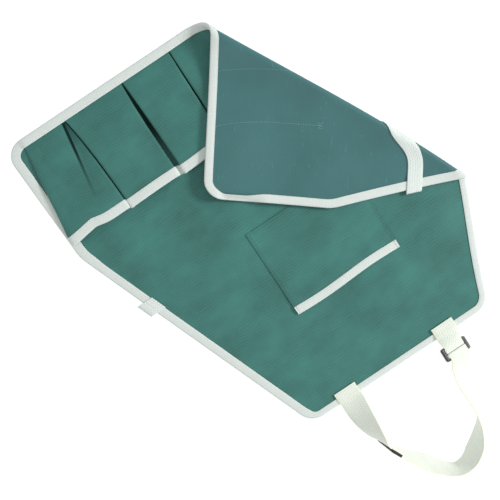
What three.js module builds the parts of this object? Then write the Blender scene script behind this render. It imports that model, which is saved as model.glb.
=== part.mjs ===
// Gardening work apron: a bib apron of coated cloth lying front side up, with its lower right
// side folded over the front. Millimetres, +Z up, +Y from the hem to the bib. The photo's left
// side of the apron is at +X, because the camera looks straight down on a turned apron.
import * as THREE from 'three';
import { mergeVertices } from 'three/addons/utils/BufferGeometryUtils.js';

// Flat pattern of the apron sheet
const HEM_WIDTH = 660;
const APRON_HEIGHT = 620;
const BIB_WIDTH = 330;
const SIDE_HEIGHT = 205;
const SIDE_PULL = 7;
const HEM_CORNER_RADIUS = 28;
const TAPER_CORNER_RADIUS = 70;
const BIB_CORNER_RADIUS = 30;
const CLOTH = 1.0;

// Edge tape, folded over the cloth's edge
const TAPE_WIDTH = 14;
const TAPE = 1.0;
const TAPE_GAP = 0.4;

// Pockets
const POCKET_HEIGHT = 183;
const POCKET_SWELL = 7;
const POCKET_CROWN = 1.2;
const POCKET_FOOT_INSET = HEM_CORNER_RADIUS + 1;
const POCKET_SIDE_INSET = 17;
const FLAT_SWELL_SHARE = 0.3;
const VALLEY_HALF = 3.8;
const VALLEY_SHOULDER = 3.4;
const BIB_POCKET_WIDTH = 190;
const BIB_POCKET_HEIGHT = 148;
const BIB_POCKET_FOOT = 319;
const BIB_POCKET_OFFSET = 6;
const BIB_TAPE_WIDTH = 12;

// Where the five seams between the six pockets stand, as shares of the hem, and how wide the
// valley between two pockets is at each, as a share of the plain valley
const SEAMS = [
  { at: 0.156, valley: 1.0 },
  { at: 0.321, valley: 1.45 },
  { at: 0.456, valley: 1.0 },
  { at: 0.706, valley: 0.95 },
  { at: 0.836, valley: 0.95 },
];

// The folded side: a roll that narrows from the hem towards the bib, like part of a cone
const FOLD_START = 341;
const FOLD_TURN = THREE.MathUtils.degToRad(26.5);
const ROLL_RADIUS = 16;
const ROLL_APEX = 760;
const ROLL_OVERTURN = THREE.MathUtils.degToRad(18);
const ROLL_RELEASE = 0.3;
const FLAP_LIFT = 13;
const FLAP_LIFT_FAR = 10;
const FLAP_LIFT_ON_POCKETS = 6;
const FLAP_HEM_RAISE = 7;
const FLAP_RAMP = 120;
const FLAP_PAST_POCKETS = 85;
const FLAP_HEM_REACH = 140;

// How the woven cloth gives on the folded side, as shares of the hem width and of the distance
// from the hem corner and the hem
const GIVE = {
  across: { all: 0.05, fromCorner: 0.055, fromHem: -0.05 },
  along: { all: 0.03, fromCorner: 0.0365, fromHem: -0.009 },
};
const BOW = [0.0355, 0.0868, -0.1213];
const BOW_REACH = 140;

// Waist belt, across the back of the apron
const BELT_WIDTH = 25;
const BELT = 1.2;
const BELT_HEIGHT = 331;
const BELT_LOOP = 12;
const BELT_LAP = 15;
const BELT_GAP = 0.55;

// Neck strap and its two sliders
const STRAP_WIDTH = 38;
const STRAP = 1.4;
const STRAP_LAP = 16;
const NECK_REACH = 192;
const SLIDER_WIDTH = 46;
const SLIDER_LENGTH = 22;
const SLIDER_RAIL = 3.4;
const SLIDER_BAR = 3.2;
const SLIDER_THICKNESS = 3.0;
const SLIDER_MIDDLE_BAR = 2.4;
const SLIDER_CORNER = 3.0;
const THREAD_GAP = 0.35;

// What the sheet lies on
const REST_AT_EDGE = TAPE + TAPE_GAP;
const REST_INSIDE = BELT + BELT_GAP + 0.3;
const BELT_END_SPREAD = 55;
const BELT_END_REACH = 130;
const REST_AT_BELT_ENDS = 2.05;
const REST_EDGE_BAND = 20;
const REST_RAMP = 80;

const COLOURS = { cloth: 0x477c74, tape: 0xdce4df, webbing: 0xecf2ea, slider: 0x2b3038 };
const ROUGHNESS = { cloth: 0.62, tape: 0.75, webbing: 0.8, slider: 0.4 };
const finishOf = (kind) => () => new THREE.MeshStandardMaterial({
  color: COLOURS[kind], roughness: ROUGHNESS[kind], metalness: 0,
});
const clothFinish = finishOf('cloth');
const tapeFinish = finishOf('tape');
const webbingFinish = finishOf('webbing');
const sliderFinish = finishOf('slider');

const vec = (x, y, z) => new THREE.Vector3(x, y, z);
const mix = (a, b, share) => a + (b - a) * share;
const clamp01 = (x) => Math.min(1, Math.max(0, x));
const ease = (x) => clamp01(x) ** 2 * (3 - 2 * clamp01(x));

// A number read off a table of [place, value] rows
function tableAt(rows, x) {
  if (x <= rows[0][0]) return rows[0][1];
  const i = rows.findIndex(([place]) => x <= place);
  if (i < 0) return rows[rows.length - 1][1];
  const share = (x - rows[i - 1][0]) / (rows[i][0] - rows[i - 1][0]);
  return mix(rows[i - 1][1], rows[i][1], share);
}

// The side edge of the sheet on the right, at a height above the hem
function rightEdge(t) {
  if (t < SIDE_HEIGHT) return HEM_WIDTH - SIDE_PULL * t / SIDE_HEIGHT;
  const share = (t - SIDE_HEIGHT) / (APRON_HEIGHT - SIDE_HEIGHT);
  return mix(HEM_WIDTH - SIDE_PULL, (HEM_WIDTH + BIB_WIDTH) / 2, share);
}
const leftEdge = (t) => HEM_WIDTH - rightEdge(t);

// The roll is worked out on a unit ball round the cone's apex: a ray of the sheet that leaves
// the apex at some angle from the fold keeps that angle as the length of a path on the ball
function turnFrame(frame, bend, step) {
  const rate = Math.hypot(1, bend);
  const [ray, , up] = frame;
  const axis = ray.clone().multiplyScalar(bend).add(up).divideScalar(rate);
  return frame.map((v) => v.clone().applyAxisAngle(axis, rate * step));
}
// Steps of the reckoning round the roll, over its release and over the flat beyond
const FINE_STEPS = { roll: 48, release: 24, beyond: 60 };
const BEYOND_ANGLE = 2;
const ROLL_BEND = ROLL_APEX / ROLL_RADIUS;
const ROLL_TURN = (Math.PI + ROLL_OVERTURN) / ROLL_BEND;
function rollTable() {
  let frame = [vec(1, 0, 0), vec(0, 1, 0), vec(0, 0, 1)];
  let angle = 0;
  const rows = [{ angle, ray: frame[0] }];
  const go = (length, bend, steps) => {
    for (let i = 0; i < steps; i += 1) {
      frame = turnFrame(frame, bend, length / steps);
      angle += length / steps;
      rows.push({ angle, ray: frame[0] });
    }
  };
  go(ROLL_TURN, ROLL_BEND, FINE_STEPS.roll);
  go(ROLL_RELEASE, -ROLL_OVERTURN / ROLL_RELEASE, FINE_STEPS.release);
  const level = rows[rows.length - 1].ray.z;
  go(BEYOND_ANGLE, 0, FINE_STEPS.beyond);
  rows.forEach((row, i) => {
    const share = ease((row.angle - ROLL_TURN) / ROLL_RELEASE);
    row.height = i > FINE_STEPS.roll + FINE_STEPS.release ? 0 : row.ray.z - level * share;
  });
  return rows;
}
const ROLL = rollTable();
function rollAt(angle) {
  let i = 1;
  while (i < ROLL.length - 1 && ROLL[i].angle < angle) i += 1;
  const a = ROLL[i - 1];
  const b = ROLL[i];
  const share = (angle - a.angle) / (b.angle - a.angle);
  return [mix(a.ray.x, b.ray.x, share), mix(a.ray.y, b.ray.y, share), mix(a.height, b.height, share)];
}

// Distances from the fold's start line: out across it, and along it from the hem
const FOLD_OUT = [Math.cos(FOLD_TURN), -Math.sin(FOLD_TURN)];
const FOLD_ALONG = [Math.sin(FOLD_TURN), Math.cos(FOLD_TURN)];
function foldPlace(s, t) {
  return {
    out: (s - FOLD_START) * FOLD_OUT[0] + t * FOLD_OUT[1],
    along: (s - FOLD_START) * FOLD_ALONG[0] + t * FOLD_ALONG[1],
  };
}
// How far round the roll a point of the sheet is: 0 before the fold, 1 on the folded side
function rollShare(s, t) {
  const { out, along } = foldPlace(s, t);
  return clamp01(Math.atan2(out, ROLL_APEX - along) / ROLL_TURN);
}

// Height of the sheet's underside above the surface, where the sheet isn't folded
function restHeight(s, t) {
  const toEdge = Math.min(t, APRON_HEIGHT - t, s - leftEdge(t), rightEdge(t) - s);
  const inside = mix(REST_AT_EDGE, REST_INSIDE, ease((toEdge - REST_EDGE_BAND) / REST_RAMP));
  const nearBelt = Math.exp(-(((t - BELT_HEIGHT) / BELT_END_SPREAD) ** 2));
  const nearEdge = 1 - ease((s - leftEdge(t)) / BELT_END_REACH);
  return inside + REST_AT_BELT_ENDS * nearBelt * nearEdge;
}

// Height of the folded side, which lies with the pockets on it face down
function flapHeight(t, planT) {
  return mix(FLAP_LIFT, FLAP_LIFT_FAR, ease((t - POCKET_HEIGHT) / FLAP_RAMP))
    + FLAP_LIFT_ON_POCKETS * ease((POCKET_HEIGHT + FLAP_PAST_POCKETS - planT) / FLAP_RAMP)
    + FLAP_HEM_RAISE * (1 - ease(t / FLAP_HEM_REACH));
}

// A point of the sheet's back face, from its place on the flat pattern: s from the left side
// along the hem, t from the hem
function sheetPoint(s, t) {
  const { out, along } = foldPlace(s, t);
  const back = ROLL_APEX - along;
  let planS = s;
  let planT = t;
  let height = 0;
  if (out > 0) {
    const reach = Math.hypot(back, out);
    const [a, b, z] = rollAt(Math.atan2(out, back));
    const apexS = FOLD_START + ROLL_APEX * FOLD_ALONG[0];
    const apexT = ROLL_APEX * FOLD_ALONG[1];
    planS = apexS + reach * (b * FOLD_OUT[0] - a * FOLD_ALONG[0]);
    planT = apexT + reach * (b * FOLD_OUT[1] - a * FOLD_ALONG[1]);
    height = reach * z;
  }
  const share = ease(rollShare(s, t));
  const released = out > 0 ? ease((Math.atan2(out, back) - ROLL_TURN) / ROLL_RELEASE) : 0;
  const give = (g) => g.all * HEM_WIDTH + g.fromCorner * (s - HEM_WIDTH) + g.fromHem * t;
  const l = along / APRON_HEIGHT;
  const bow = APRON_HEIGHT * (BOW[0] * l + BOW[1] * l * l + BOW[2] * l ** 3) * ease(1 + out / BOW_REACH);
  planS += share * give(GIVE.across) + bow * FOLD_OUT[0];
  planT += share * give(GIVE.along) + bow * FOLD_OUT[1];
  const z = height + (1 - share) * restHeight(s, t) + released * flapHeight(t, planT);
  return vec(HEM_WIDTH / 2 - planS, planT, z);
}

// A point at height h over the sheet's back face, on the side of its front face
const PROBE = 0.6;
function cloth(s, t, h) {
  const p = sheetPoint(s, t);
  if (h === 0) return p;
  const across = sheetPoint(s + PROBE, t).sub(sheetPoint(s - PROBE, t));
  const up = sheetPoint(s, t + PROBE).sub(sheetPoint(s, t - PROBE));
  return p.addScaledVector(up.cross(across).normalize(), h);
}

// Closed solids. Every one is a list of points and a list of faces that look outwards.
function closedMesh(name, points, faces, finish) {
  const geometry = new THREE.BufferGeometry();
  const numbers = points.flatMap((p) => [p.x, p.y, p.z]);
  geometry.setAttribute('position', new THREE.Float32BufferAttribute(numbers, 3));
  geometry.setIndex(faces.flat());
  const merged = mergeVertices(geometry, 1e-4);
  const index = merged.getIndex().array;
  const kept = [];
  for (let i = 0; i < index.length; i += 3) {
    const [a, b, c] = [index[i], index[i + 1], index[i + 2]];
    if (a !== b && b !== c && c !== a) kept.push(a, b, c);
  }
  merged.setIndex(kept);
  merged.computeVertexNormals();
  const mesh = new THREE.Mesh(merged, finish);
  mesh.name = name;
  return mesh;
}

// Cuts a convex outline by rows of straight lines, and keeps the convex cells between them
function cutCells(outline, lines) {
  let cells = [outline];
  for (const line of lines) {
    const side = ([s, t]) => (s - line.at[0]) * line.out[0] + (t - line.at[1]) * line.out[1];
    const next = [];
    for (const cell of cells) {
      const d = cell.map(side);
      if (d.every((x) => x >= -1e-7) || d.every((x) => x <= 1e-7)) {
        next.push(cell);
        continue;
      }
      for (const sign of [1, -1]) {
        const part = [];
        cell.forEach((p, i) => {
          const j = (i + 1) % cell.length;
          const q = cell[j];
          if (sign * d[i] >= -1e-7) part.push(p);
          if ((d[i] > 1e-7 && d[j] < -1e-7) || (d[i] < -1e-7 && d[j] > 1e-7)) {
            const share = d[i] / (d[i] - d[j]);
            part.push([mix(p[0], q[0], share), mix(p[1], q[1], share)]);
          }
        });
        if (part.length > 2) next.push(part);
      }
    }
    cells = next;
  }
  return cells;
}

// A sheet of even thickness over flat cells: front face, back face and rim
function sheetFromCells(name, cells, low, high, finish) {
  const flat = [];
  const seen = new Map();
  const key = (p) => `${Math.round(p[0] * 1000)},${Math.round(p[1] * 1000)}`;
  const idOf = (p) => {
    if (!seen.has(key(p))) {
      seen.set(key(p), flat.length);
      flat.push(p);
    }
    return seen.get(key(p));
  };
  const polygons = cells
    .map((cell) => cell.map(idOf).filter((id, i, all) => id !== all[(i + 1) % all.length]))
    .filter((ids) => ids.length > 2);
  const count = flat.length;
  const points = [...flat.map(([s, t]) => cloth(s, t, high)), ...flat.map(([s, t]) => cloth(s, t, low))];
  const faces = [];
  const edges = new Map();
  for (const ids of polygons) {
    for (let i = 1; i + 1 < ids.length; i += 1) {
      faces.push([ids[0], ids[i + 1], ids[i]]);
      faces.push([count + ids[0], count + ids[i], count + ids[i + 1]]);
    }
    ids.forEach((a, i) => edges.set(`${a},${ids[(i + 1) % ids.length]}`, [a, ids[(i + 1) % ids.length]]));
  }
  for (const [a, b] of edges.values()) {
    if (edges.has(`${b},${a}`)) continue;
    faces.push([a, b, count + a], [b, count + b, count + a]);
  }
  return closedMesh(name, points, faces, finish);
}

// A sheet over a grid of rows and columns, between two surfaces
function sheetFromGrid(name, rows, columns, low, high, finish) {
  const points = [];
  for (const at of [high, low]) {
    for (let j = 0; j < rows; j += 1) for (let i = 0; i < columns; i += 1) points.push(at(i, j));
  }
  const count = rows * columns;
  const id = (i, j, layer) => layer * count + j * columns + i;
  const faces = [];
  const quad = (a, b, c, d) => faces.push([a, b, c], [a, c, d]);
  for (let j = 0; j + 1 < rows; j += 1) {
    for (let i = 0; i + 1 < columns; i += 1) {
      quad(id(i, j, 0), id(i, j + 1, 0), id(i + 1, j + 1, 0), id(i + 1, j, 0));
      quad(id(i, j, 1), id(i + 1, j, 1), id(i + 1, j + 1, 1), id(i, j + 1, 1));
    }
  }
  for (let i = 0; i + 1 < columns; i += 1) {
    quad(id(i, 0, 0), id(i + 1, 0, 0), id(i + 1, 0, 1), id(i, 0, 1));
    quad(id(i + 1, rows - 1, 0), id(i, rows - 1, 0), id(i, rows - 1, 1), id(i + 1, rows - 1, 1));
  }
  for (let j = 0; j + 1 < rows; j += 1) {
    const last = columns - 1;
    quad(id(0, j + 1, 0), id(0, j, 0), id(0, j, 1), id(0, j + 1, 1));
    quad(id(last, j, 0), id(last, j + 1, 0), id(last, j + 1, 1), id(last, j, 1));
  }
  return closedMesh(name, points, faces, finish);
}

// Triangles of a flat section, turned the same way round as its outline
function capFaces(section) {
  const outline = section.map(([x, y]) => new THREE.Vector2(x, y));
  const whole = THREE.ShapeUtils.area(outline);
  return THREE.ShapeUtils.triangulateShape(outline, []).map((ids) => {
    const area = THREE.ShapeUtils.area(ids.map((i) => outline[i]));
    return area * whole > 0 ? ids : [ids[0], ids[2], ids[1]];
  });
}

// A bar with the same section all along: rings of points joined one to the next, ends closed
function barFromRings(name, rings, section, finish) {
  const size = section.length;
  const points = rings.flat();
  const caps = capFaces(section);
  const faces = [];
  for (let r = 0; r + 1 < rings.length; r += 1) {
    for (let k = 0; k < size; k += 1) {
      const a = r * size + k;
      const b = r * size + (k + 1) % size;
      faces.push([a, b, a + size], [b, b + size, a + size]);
    }
  }
  const last = (rings.length - 1) * size;
  for (const [a, b, c] of caps) {
    faces.push([a, c, b], [last + a, last + b, last + c]);
  }
  return closedMesh(name, points, orient(points, faces), finish);
}

// Turns every face round when the solid would be inside out
function orient(points, faces) {
  let volume = 0;
  for (const [a, b, c] of faces) volume += points[a].dot(points[b].clone().cross(points[c]));
  return volume > 0 ? faces : faces.map(([a, b, c]) => [a, c, b]);
}

// The section of the folded tape, from the open side of its back lip: how far in from the
// cloth's edge, and how high over the sheet's back face
function tapeSection(width, backFace, frontFace) {
  const low = backFace - TAPE_GAP;
  const high = frontFace + TAPE_GAP;
  const fold = -TAPE_GAP - TAPE;
  return [
    [width, low - TAPE], [fold, low - TAPE], [fold, high + TAPE], [width, high + TAPE],
    [width, high], [-TAPE_GAP, high], [-TAPE_GAP, low], [width, low],
  ];
}

// The outline of the flat pattern as a run of stations, each with the way in across the tape
const BIB_LEFT = (HEM_WIDTH - BIB_WIDTH) / 2;
const BIB_RIGHT = HEM_WIDTH - BIB_LEFT;
const TAPER_RIGHT = HEM_WIDTH - SIDE_PULL;
const CORNERS = [
  { name: 'hem_left', at: [0, 0], radius: HEM_CORNER_RADIUS, steps: 6 },
  { name: 'hem_right', at: [HEM_WIDTH, 0], radius: HEM_CORNER_RADIUS, steps: 6 },
  { name: 'taper_right', at: [TAPER_RIGHT, SIDE_HEIGHT], radius: TAPER_CORNER_RADIUS, steps: 4 },
  { name: 'bib_right', at: [BIB_RIGHT, APRON_HEIGHT], radius: BIB_CORNER_RADIUS, steps: 5 },
  { name: 'bib_left', at: [BIB_LEFT, APRON_HEIGHT], radius: BIB_CORNER_RADIUS, steps: 5 },
  { name: 'taper_left', at: [SIDE_PULL, SIDE_HEIGHT], radius: TAPER_CORNER_RADIUS, steps: 4 },
];
const unit = (p, q) => {
  const length = Math.hypot(q[0] - p[0], q[1] - p[1]);
  return [(q[0] - p[0]) / length, (q[1] - p[1]) / length, length];
};
function cornerArc(i) {
  const corner = CORNERS[i];
  const before = CORNERS[(i + CORNERS.length - 1) % CORNERS.length].at;
  const after = CORNERS[(i + 1) % CORNERS.length].at;
  const a = unit(before, corner.at);
  const b = unit(corner.at, after);
  const turn = Math.acos(a[0] * b[0] + a[1] * b[1]);
  const setback = corner.radius * Math.tan(turn / 2);
  const start = [corner.at[0] - a[0] * setback, corner.at[1] - a[1] * setback];
  const centre = [start[0] - a[1] * corner.radius, start[1] + a[0] * corner.radius];
  const stations = [];
  for (let k = 0; k <= corner.steps; k += 1) {
    const angle = Math.atan2(a[1], a[0]) + turn * k / corner.steps;
    const inward = [-Math.sin(angle), Math.cos(angle)];
    const at = centre.map((c, axis) => c - inward[axis] * corner.radius);
    stations.push({ at, inward });
  }
  return stations;
}
// Rays from the cone's apex through the roll: a point, the way along it and the way across it
const LONG_STEP = 34;
const FLAP_STEP = 24;
const ROLL_STEPS = 13;
const RELEASE_STEPS = 9;
const APEX = [FOLD_START + ROLL_APEX * FOLD_ALONG[0], ROLL_APEX * FOLD_ALONG[1]];
function rayAt(angle) {
  const along = [
    -Math.cos(angle) * FOLD_ALONG[0] + Math.sin(angle) * FOLD_OUT[0],
    -Math.cos(angle) * FOLD_ALONG[1] + Math.sin(angle) * FOLD_OUT[1],
  ];
  return { at: APEX, along, out: [-along[1], along[0]], rolled: angle < ROLL_TURN * 1.001 };
}
const ROLL_RAYS = [];
for (let k = 0; k <= ROLL_STEPS; k += 1) ROLL_RAYS.push(rayAt(ROLL_TURN * k / ROLL_STEPS));
for (let k = 1; k <= RELEASE_STEPS + 2; k += 1) {
  ROLL_RAYS.push(rayAt(ROLL_TURN + ROLL_RELEASE * k / RELEASE_STEPS));
}

// Straight run between two corners. Where it goes round the roll its stations stand on the
// rays, and the tape's sections lie along the rays, so that tape and sheet bend alike.
const RAY_BLEND = 80;
function straightRun(from, to) {
  const [ds, dt, length] = unit(from.at, to.at);
  const square = [-dt, ds];
  const crossings = ROLL_RAYS.map((ray) => {
    const slope = ds * ray.out[0] + dt * ray.out[1];
    const start = (from.at[0] - ray.at[0]) * ray.out[0] + (from.at[1] - ray.at[1]) * ray.out[1];
    return { x: -start / slope, ray };
  }).filter(({ x }) => x > 1 && x < length - 1).sort((p, q) => p.x - q.x);
  const rolled = crossings.filter(({ ray }) => ray.rolled);
  const folded = rolled.length > 2;
  const [first, last] = folded ? [rolled[0].x, rolled[rolled.length - 1].x] : [length, length];
  const onFlap = (x) => foldPlace(from.at[0] + ds * x, from.at[1] + dt * x).out > 0;
  const places = [];
  const fill = (a, b, step) => {
    const count = Math.max(1, Math.ceil((b - a) / step));
    for (let k = 1; k < count; k += 1) places.push({ x: a + (b - a) * k / count });
  };
  if (folded) {
    const ends = [crossings[0].x, crossings[crossings.length - 1].x];
    fill(0, ends[0], onFlap(ends[0] / 2) ? FLAP_STEP : LONG_STEP);
    crossings.forEach(({ x, ray }) => places.push({ x, ray }));
    fill(ends[1], length, onFlap((ends[1] + length) / 2) ? FLAP_STEP : LONG_STEP);
  } else {
    fill(0, length, onFlap(length / 2) ? FLAP_STEP : LONG_STEP);
  }
  return places.map(({ x, ray }) => {
    const inRoll = ray?.rolled;
    const near = x < first ? rolled[0] : rolled[rolled.length - 1];
    const away = inRoll ? 0 : Math.min(Math.abs(x - first), Math.abs(x - last));
    const use = inRoll ? ray : near?.ray;
    let inward = square;
    if (folded && away < RAY_BLEND) {
      const alongEdge = use.along[0] * ds + use.along[1] * dt;
      const lean = alongEdge / (use.along[0] * square[0] + use.along[1] * square[1]);
      const share = 1 - ease(away / RAY_BLEND);
      inward = [square[0] + ds * lean * share, square[1] + dt * lean * share];
    }
    return { at: [from.at[0] + ds * x, from.at[1] + dt * x], inward };
  });
}
const ARCS = CORNERS.map((corner, i) => cornerArc(i));
const RUNS = ARCS.map((arc, i) => straightRun(arc[arc.length - 1], ARCS[(i + 1) % ARCS.length][0]));
const runAfter = (name) => RUNS[CORNERS.findIndex((c) => c.name === name)];
const arcOf = (name) => ARCS[CORNERS.findIndex((c) => c.name === name)];

// The sheet itself, cut along the roll so that its bend is round, and before the roll at these
// distances from the fold
const SHEET_CUTS = [40, 80, 120, 180, 250, 320, 400, 480];
function apronPanel() {
  const outline = ARCS.flatMap((arc, i) => [...arc, ...RUNS[i]]).map((station) => station.at);
  const lines = [...ROLL_RAYS];
  for (const x of SHEET_CUTS) {
    lines.push({ at: [FOLD_START - FOLD_OUT[0] * x, -FOLD_OUT[1] * x], out: FOLD_OUT });
  }
  for (let y = -FOLD_START / 3; y < ROLL_APEX; y += LONG_STEP) {
    lines.push({ at: [FOLD_START + FOLD_ALONG[0] * y, FOLD_ALONG[1] * y], out: FOLD_ALONG });
  }
  return sheetFromCells('apron_panel', cutCells(outline, lines), 0, CLOTH, clothFinish());
}

// Tape along a run of stations
function edgeTape(name, stations, frontFaceAt) {
  const rings = stations.map(({ at, inward }) => tapeSection(TAPE_WIDTH, 0, frontFaceAt(at))
    .map(([inwards, h]) => cloth(at[0] + inward[0] * inwards, at[1] + inward[1] * inwards, h)));
  return barFromRings(name, rings, tapeSection(TAPE_WIDTH, 0, CLOTH), tapeFinish());
}

const POCKET_BASE = CLOTH + TAPE_GAP;
// The pocket strip as a run of columns: where each stands on the hem (foot), where it stands at
// the pockets' mouths (mouth), and how far it has risen there (rise, a share of the swell)
const seamPlaces = SEAMS.map((seam) => ({ at: seam.at * HEM_WIDTH, half: VALLEY_HALF * seam.valley }));
const pocketEnds = [0, ...seamPlaces.map((seam) => seam.at), HEM_WIDTH];
// The strip's left side, which creeps out over the edge tape towards the mouths and bulges
const SIDE_BULGE = [
  { foot: 0, mouth: 0.24, rise: 0 },
  { foot: 1, mouth: 0.14, rise: 0.33 },
  { foot: 3, mouth: 0.24, rise: 0.7 },
  { foot: 7, mouth: 0.55, rise: 0.94 },
  { foot: 14, mouth: 1.0, rise: 1.0 },
];
const SIDE_CREEP = [[0, 0], [0.09, 0], [0.25, 0.22], [0.45, 0.43], [0.7, 0.7], [0.9, 0.95], [1, 1]];
// The width of a column in each pocket: small in the roll, where the strip bends most
const COLUMN_STEPS = [18, 18, 18, 6.5, 8.5, 22];
// A pocket's turned edge beside a valley: its plain part starts this far off, in shoulders, and
// the edge itself is met this far off and this high
const PLAIN_FROM = 1.5;
const SHOULDER_PLACE = 0.4;
const SHOULDER_RISE = 0.8;
// How wide a valley is at the hem, as a share of its width at the mouths
const VALLEY_AT_FOOT = 0.6;
function pocketColumns() {
  const columns = [];
  for (const { foot, mouth, rise } of SIDE_BULGE) {
    columns.push({ foot: POCKET_FOOT_INSET + foot, mouth: POCKET_SIDE_INSET * mouth, rise, side: true });
  }
  for (let i = 0; i + 1 < pocketEnds.length; i += 1) {
    const plain = VALLEY_SHOULDER * PLAIN_FROM;
    const left = i === 0
      ? POCKET_SIDE_INSET + POCKET_FOOT_INSET
      : pocketEnds[i] + seamPlaces[i - 1].half + plain;
    const right = i === seamPlaces.length
      ? HEM_WIDTH - POCKET_FOOT_INSET - plain
      : pocketEnds[i + 1] - seamPlaces[i].half - plain;
    const steps = Math.max(2, Math.round((right - left) / COLUMN_STEPS[i]));
    for (let k = 0; k <= steps; k += 1) {
      const at = mix(left, right, k / steps);
      columns.push({ foot: at, mouth: at, rise: 1, crown: Math.sin(Math.PI * k / steps) });
    }
    if (i < seamPlaces.length) {
      const { at, half } = seamPlaces[i];
      const turned = half + VALLEY_SHOULDER * SHOULDER_PLACE;
      const valley = [[-turned, SHOULDER_RISE], [-half, 0], [half, 0], [turned, SHOULDER_RISE]];
      for (const [place, rise] of valley) {
        columns.push({ foot: at + place * VALLEY_AT_FOOT, mouth: at + place, rise });
      }
    }
  }
  const end = HEM_WIDTH - POCKET_SIDE_INSET;
  const footEnd = HEM_WIDTH - POCKET_FOOT_INSET;
  columns.push({ foot: footEnd - VALLEY_SHOULDER, mouth: end - VALLEY_SHOULDER, rise: 0.7 });
  columns.push({ foot: footEnd, mouth: end, rise: 0 });
  return columns;
}
const COLUMNS = pocketColumns();
// How far the pockets have opened at a height over the hem, as shares
const OPENING = [[0, 0], [0.09, 0], [0.3, 0.42], [0.55, 0.74], [0.8, 0.93], [1, 1]];
const POCKET_ROWS = [0.005, 0.085, 0.25, 0.45, 0.7, 0.9, 1].map((share) => share * POCKET_HEIGHT);
// Room between two pieces in the roll, where their flat faces don't run quite alike
const ROLL_ROOM = 0.5;
const PRESS_REACH = 60;
// Where the strip steps up over the mouth's own tape, and over the edge tape beside it
const MOUTH_STEP = { below: 50, length: 30 };
const SIDE_STEP = { from: 0.28, length: 0.15 };
// The pockets are flat in the roll and under the folded side
function swellAt(s, t) {
  const { out } = foldPlace(s, t);
  const arc = ROLL_TURN * (ROLL_APEX - foldPlace(s, t).along);
  const inRoll = ease((out + PRESS_REACH) / PRESS_REACH) * ease((arc + PRESS_REACH - out) / PRESS_REACH);
  const pressed = ease((s - SEAMS[2].at * HEM_WIDTH) / PRESS_REACH);
  return { swell: mix(1, FLAT_SWELL_SHARE, pressed) * (1 - inRoll), inRoll };
}
// Place of a column across the pocket strip at a height t: s, and h over the sheet's back
function pocketPlace(column, t) {
  const share = t / POCKET_HEIGHT;
  const open = tableAt(OPENING, share);
  const creep = tableAt(SIDE_CREEP, share);
  const across = mix(column.foot, column.mouth, column.side ? creep : open);
  const s = leftEdge(t) + across * (rightEdge(t) - leftEdge(t)) / HEM_WIDTH;
  const { swell, inRoll } = swellAt(s, t);
  const tapeRoom = (TAPE + TAPE_GAP) * ease((t - POCKET_HEIGHT + MOUTH_STEP.below) / MOUTH_STEP.length);
  const onTape = column.side ? ease((creep - SIDE_STEP.from) / SIDE_STEP.length) : 0;
  const base = POCKET_BASE + ROLL_ROOM * inRoll + tapeRoom + (TAPE + TAPE_GAP * 1.5) * onTape;
  const crown = POCKET_CROWN * (column.crown ?? 0);
  return [s, base + (POCKET_SWELL * column.rise + crown) * open * swell];
}
// A point of the pocket strip: off is how far it lies in front of the strip's inner face
const MITRE_LIMIT = 1.6;
function pocketPoint(i, t, off) {
  const here = pocketPlace(COLUMNS[i], t);
  const before = pocketPlace(COLUMNS[Math.max(0, i - 1)], t);
  const after = pocketPlace(COLUMNS[Math.min(COLUMNS.length - 1, i + 1)], t);
  const a = i > 0 ? unit(before, here) : unit(here, after);
  const b = i + 1 < COLUMNS.length ? unit(here, after) : a;
  const normal = [-(a[1] + b[1]), a[0] + b[0]];
  const size = Math.hypot(...normal);
  const mitre = Math.min(MITRE_LIMIT, 2 / size) / size;
  return cloth(here[0] + normal[0] * mitre * off, t, here[1] + normal[1] * mitre * off);
}
function pocketPanel() {
  const at = (off) => (i, j) => pocketPoint(i, POCKET_ROWS[j], off);
  return sheetFromGrid('pocket_panel', POCKET_ROWS.length, COLUMNS.length, at(0), at(CLOTH), clothFinish());
}
function pocketMouthTape() {
  const section = tapeSection(TAPE_WIDTH, 0, CLOTH);
  const rings = COLUMNS.map((column, i) => section
    .map(([inwards, off]) => pocketPoint(i, POCKET_HEIGHT - inwards, off)));
  return barFromRings('pocket_mouth_tape', rings, section, tapeFinish());
}

// The patch pocket on the bib, with a little room in it at its mouth
const BIB_POCKET_LEFT = (HEM_WIDTH - BIB_POCKET_WIDTH) / 2 + BIB_POCKET_OFFSET;
const BIB_POCKET_MOUTH = BIB_POCKET_FOOT + BIB_POCKET_HEIGHT;
const BIB_MOUTH_STEP = { from: 0.6, length: 0.3 };
function bibPocketHeight(sShare, t) {
  const up = (t - BIB_POCKET_FOOT) / BIB_POCKET_HEIGHT;
  return POCKET_BASE + (TAPE + TAPE_GAP) * ease((up - BIB_MOUTH_STEP.from) / BIB_MOUTH_STEP.length)
    + POCKET_CROWN * Math.sin(Math.PI * sShare) * ease(up);
}
const BIB_POCKET_COLUMNS = 9;
function bibPocketPoint(i, t, off) {
  const share = i / (BIB_POCKET_COLUMNS - 1);
  return cloth(BIB_POCKET_LEFT + BIB_POCKET_WIDTH * share, t, bibPocketHeight(share, t) + off);
}
const BIB_POCKET_ROWS = [0, 0.2, 0.4, 0.6, 0.75, 0.9, 1];
function bibPocket() {
  const rows = BIB_POCKET_ROWS.map((share) => mix(BIB_POCKET_FOOT, BIB_POCKET_MOUTH, share));
  const at = (off) => (i, j) => bibPocketPoint(i, rows[j], off);
  return sheetFromGrid('bib_pocket', rows.length, BIB_POCKET_COLUMNS, at(0), at(CLOTH), clothFinish());
}
function bibPocketTape() {
  const section = tapeSection(BIB_TAPE_WIDTH, 0, CLOTH);
  const rings = Array.from({ length: BIB_POCKET_COLUMNS }, (_, i) => section
    .map(([inwards, off]) => bibPocketPoint(i, BIB_POCKET_MOUTH - inwards, off)));
  return barFromRings('bib_pocket_tape', rings, section, tapeFinish());
}

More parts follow.
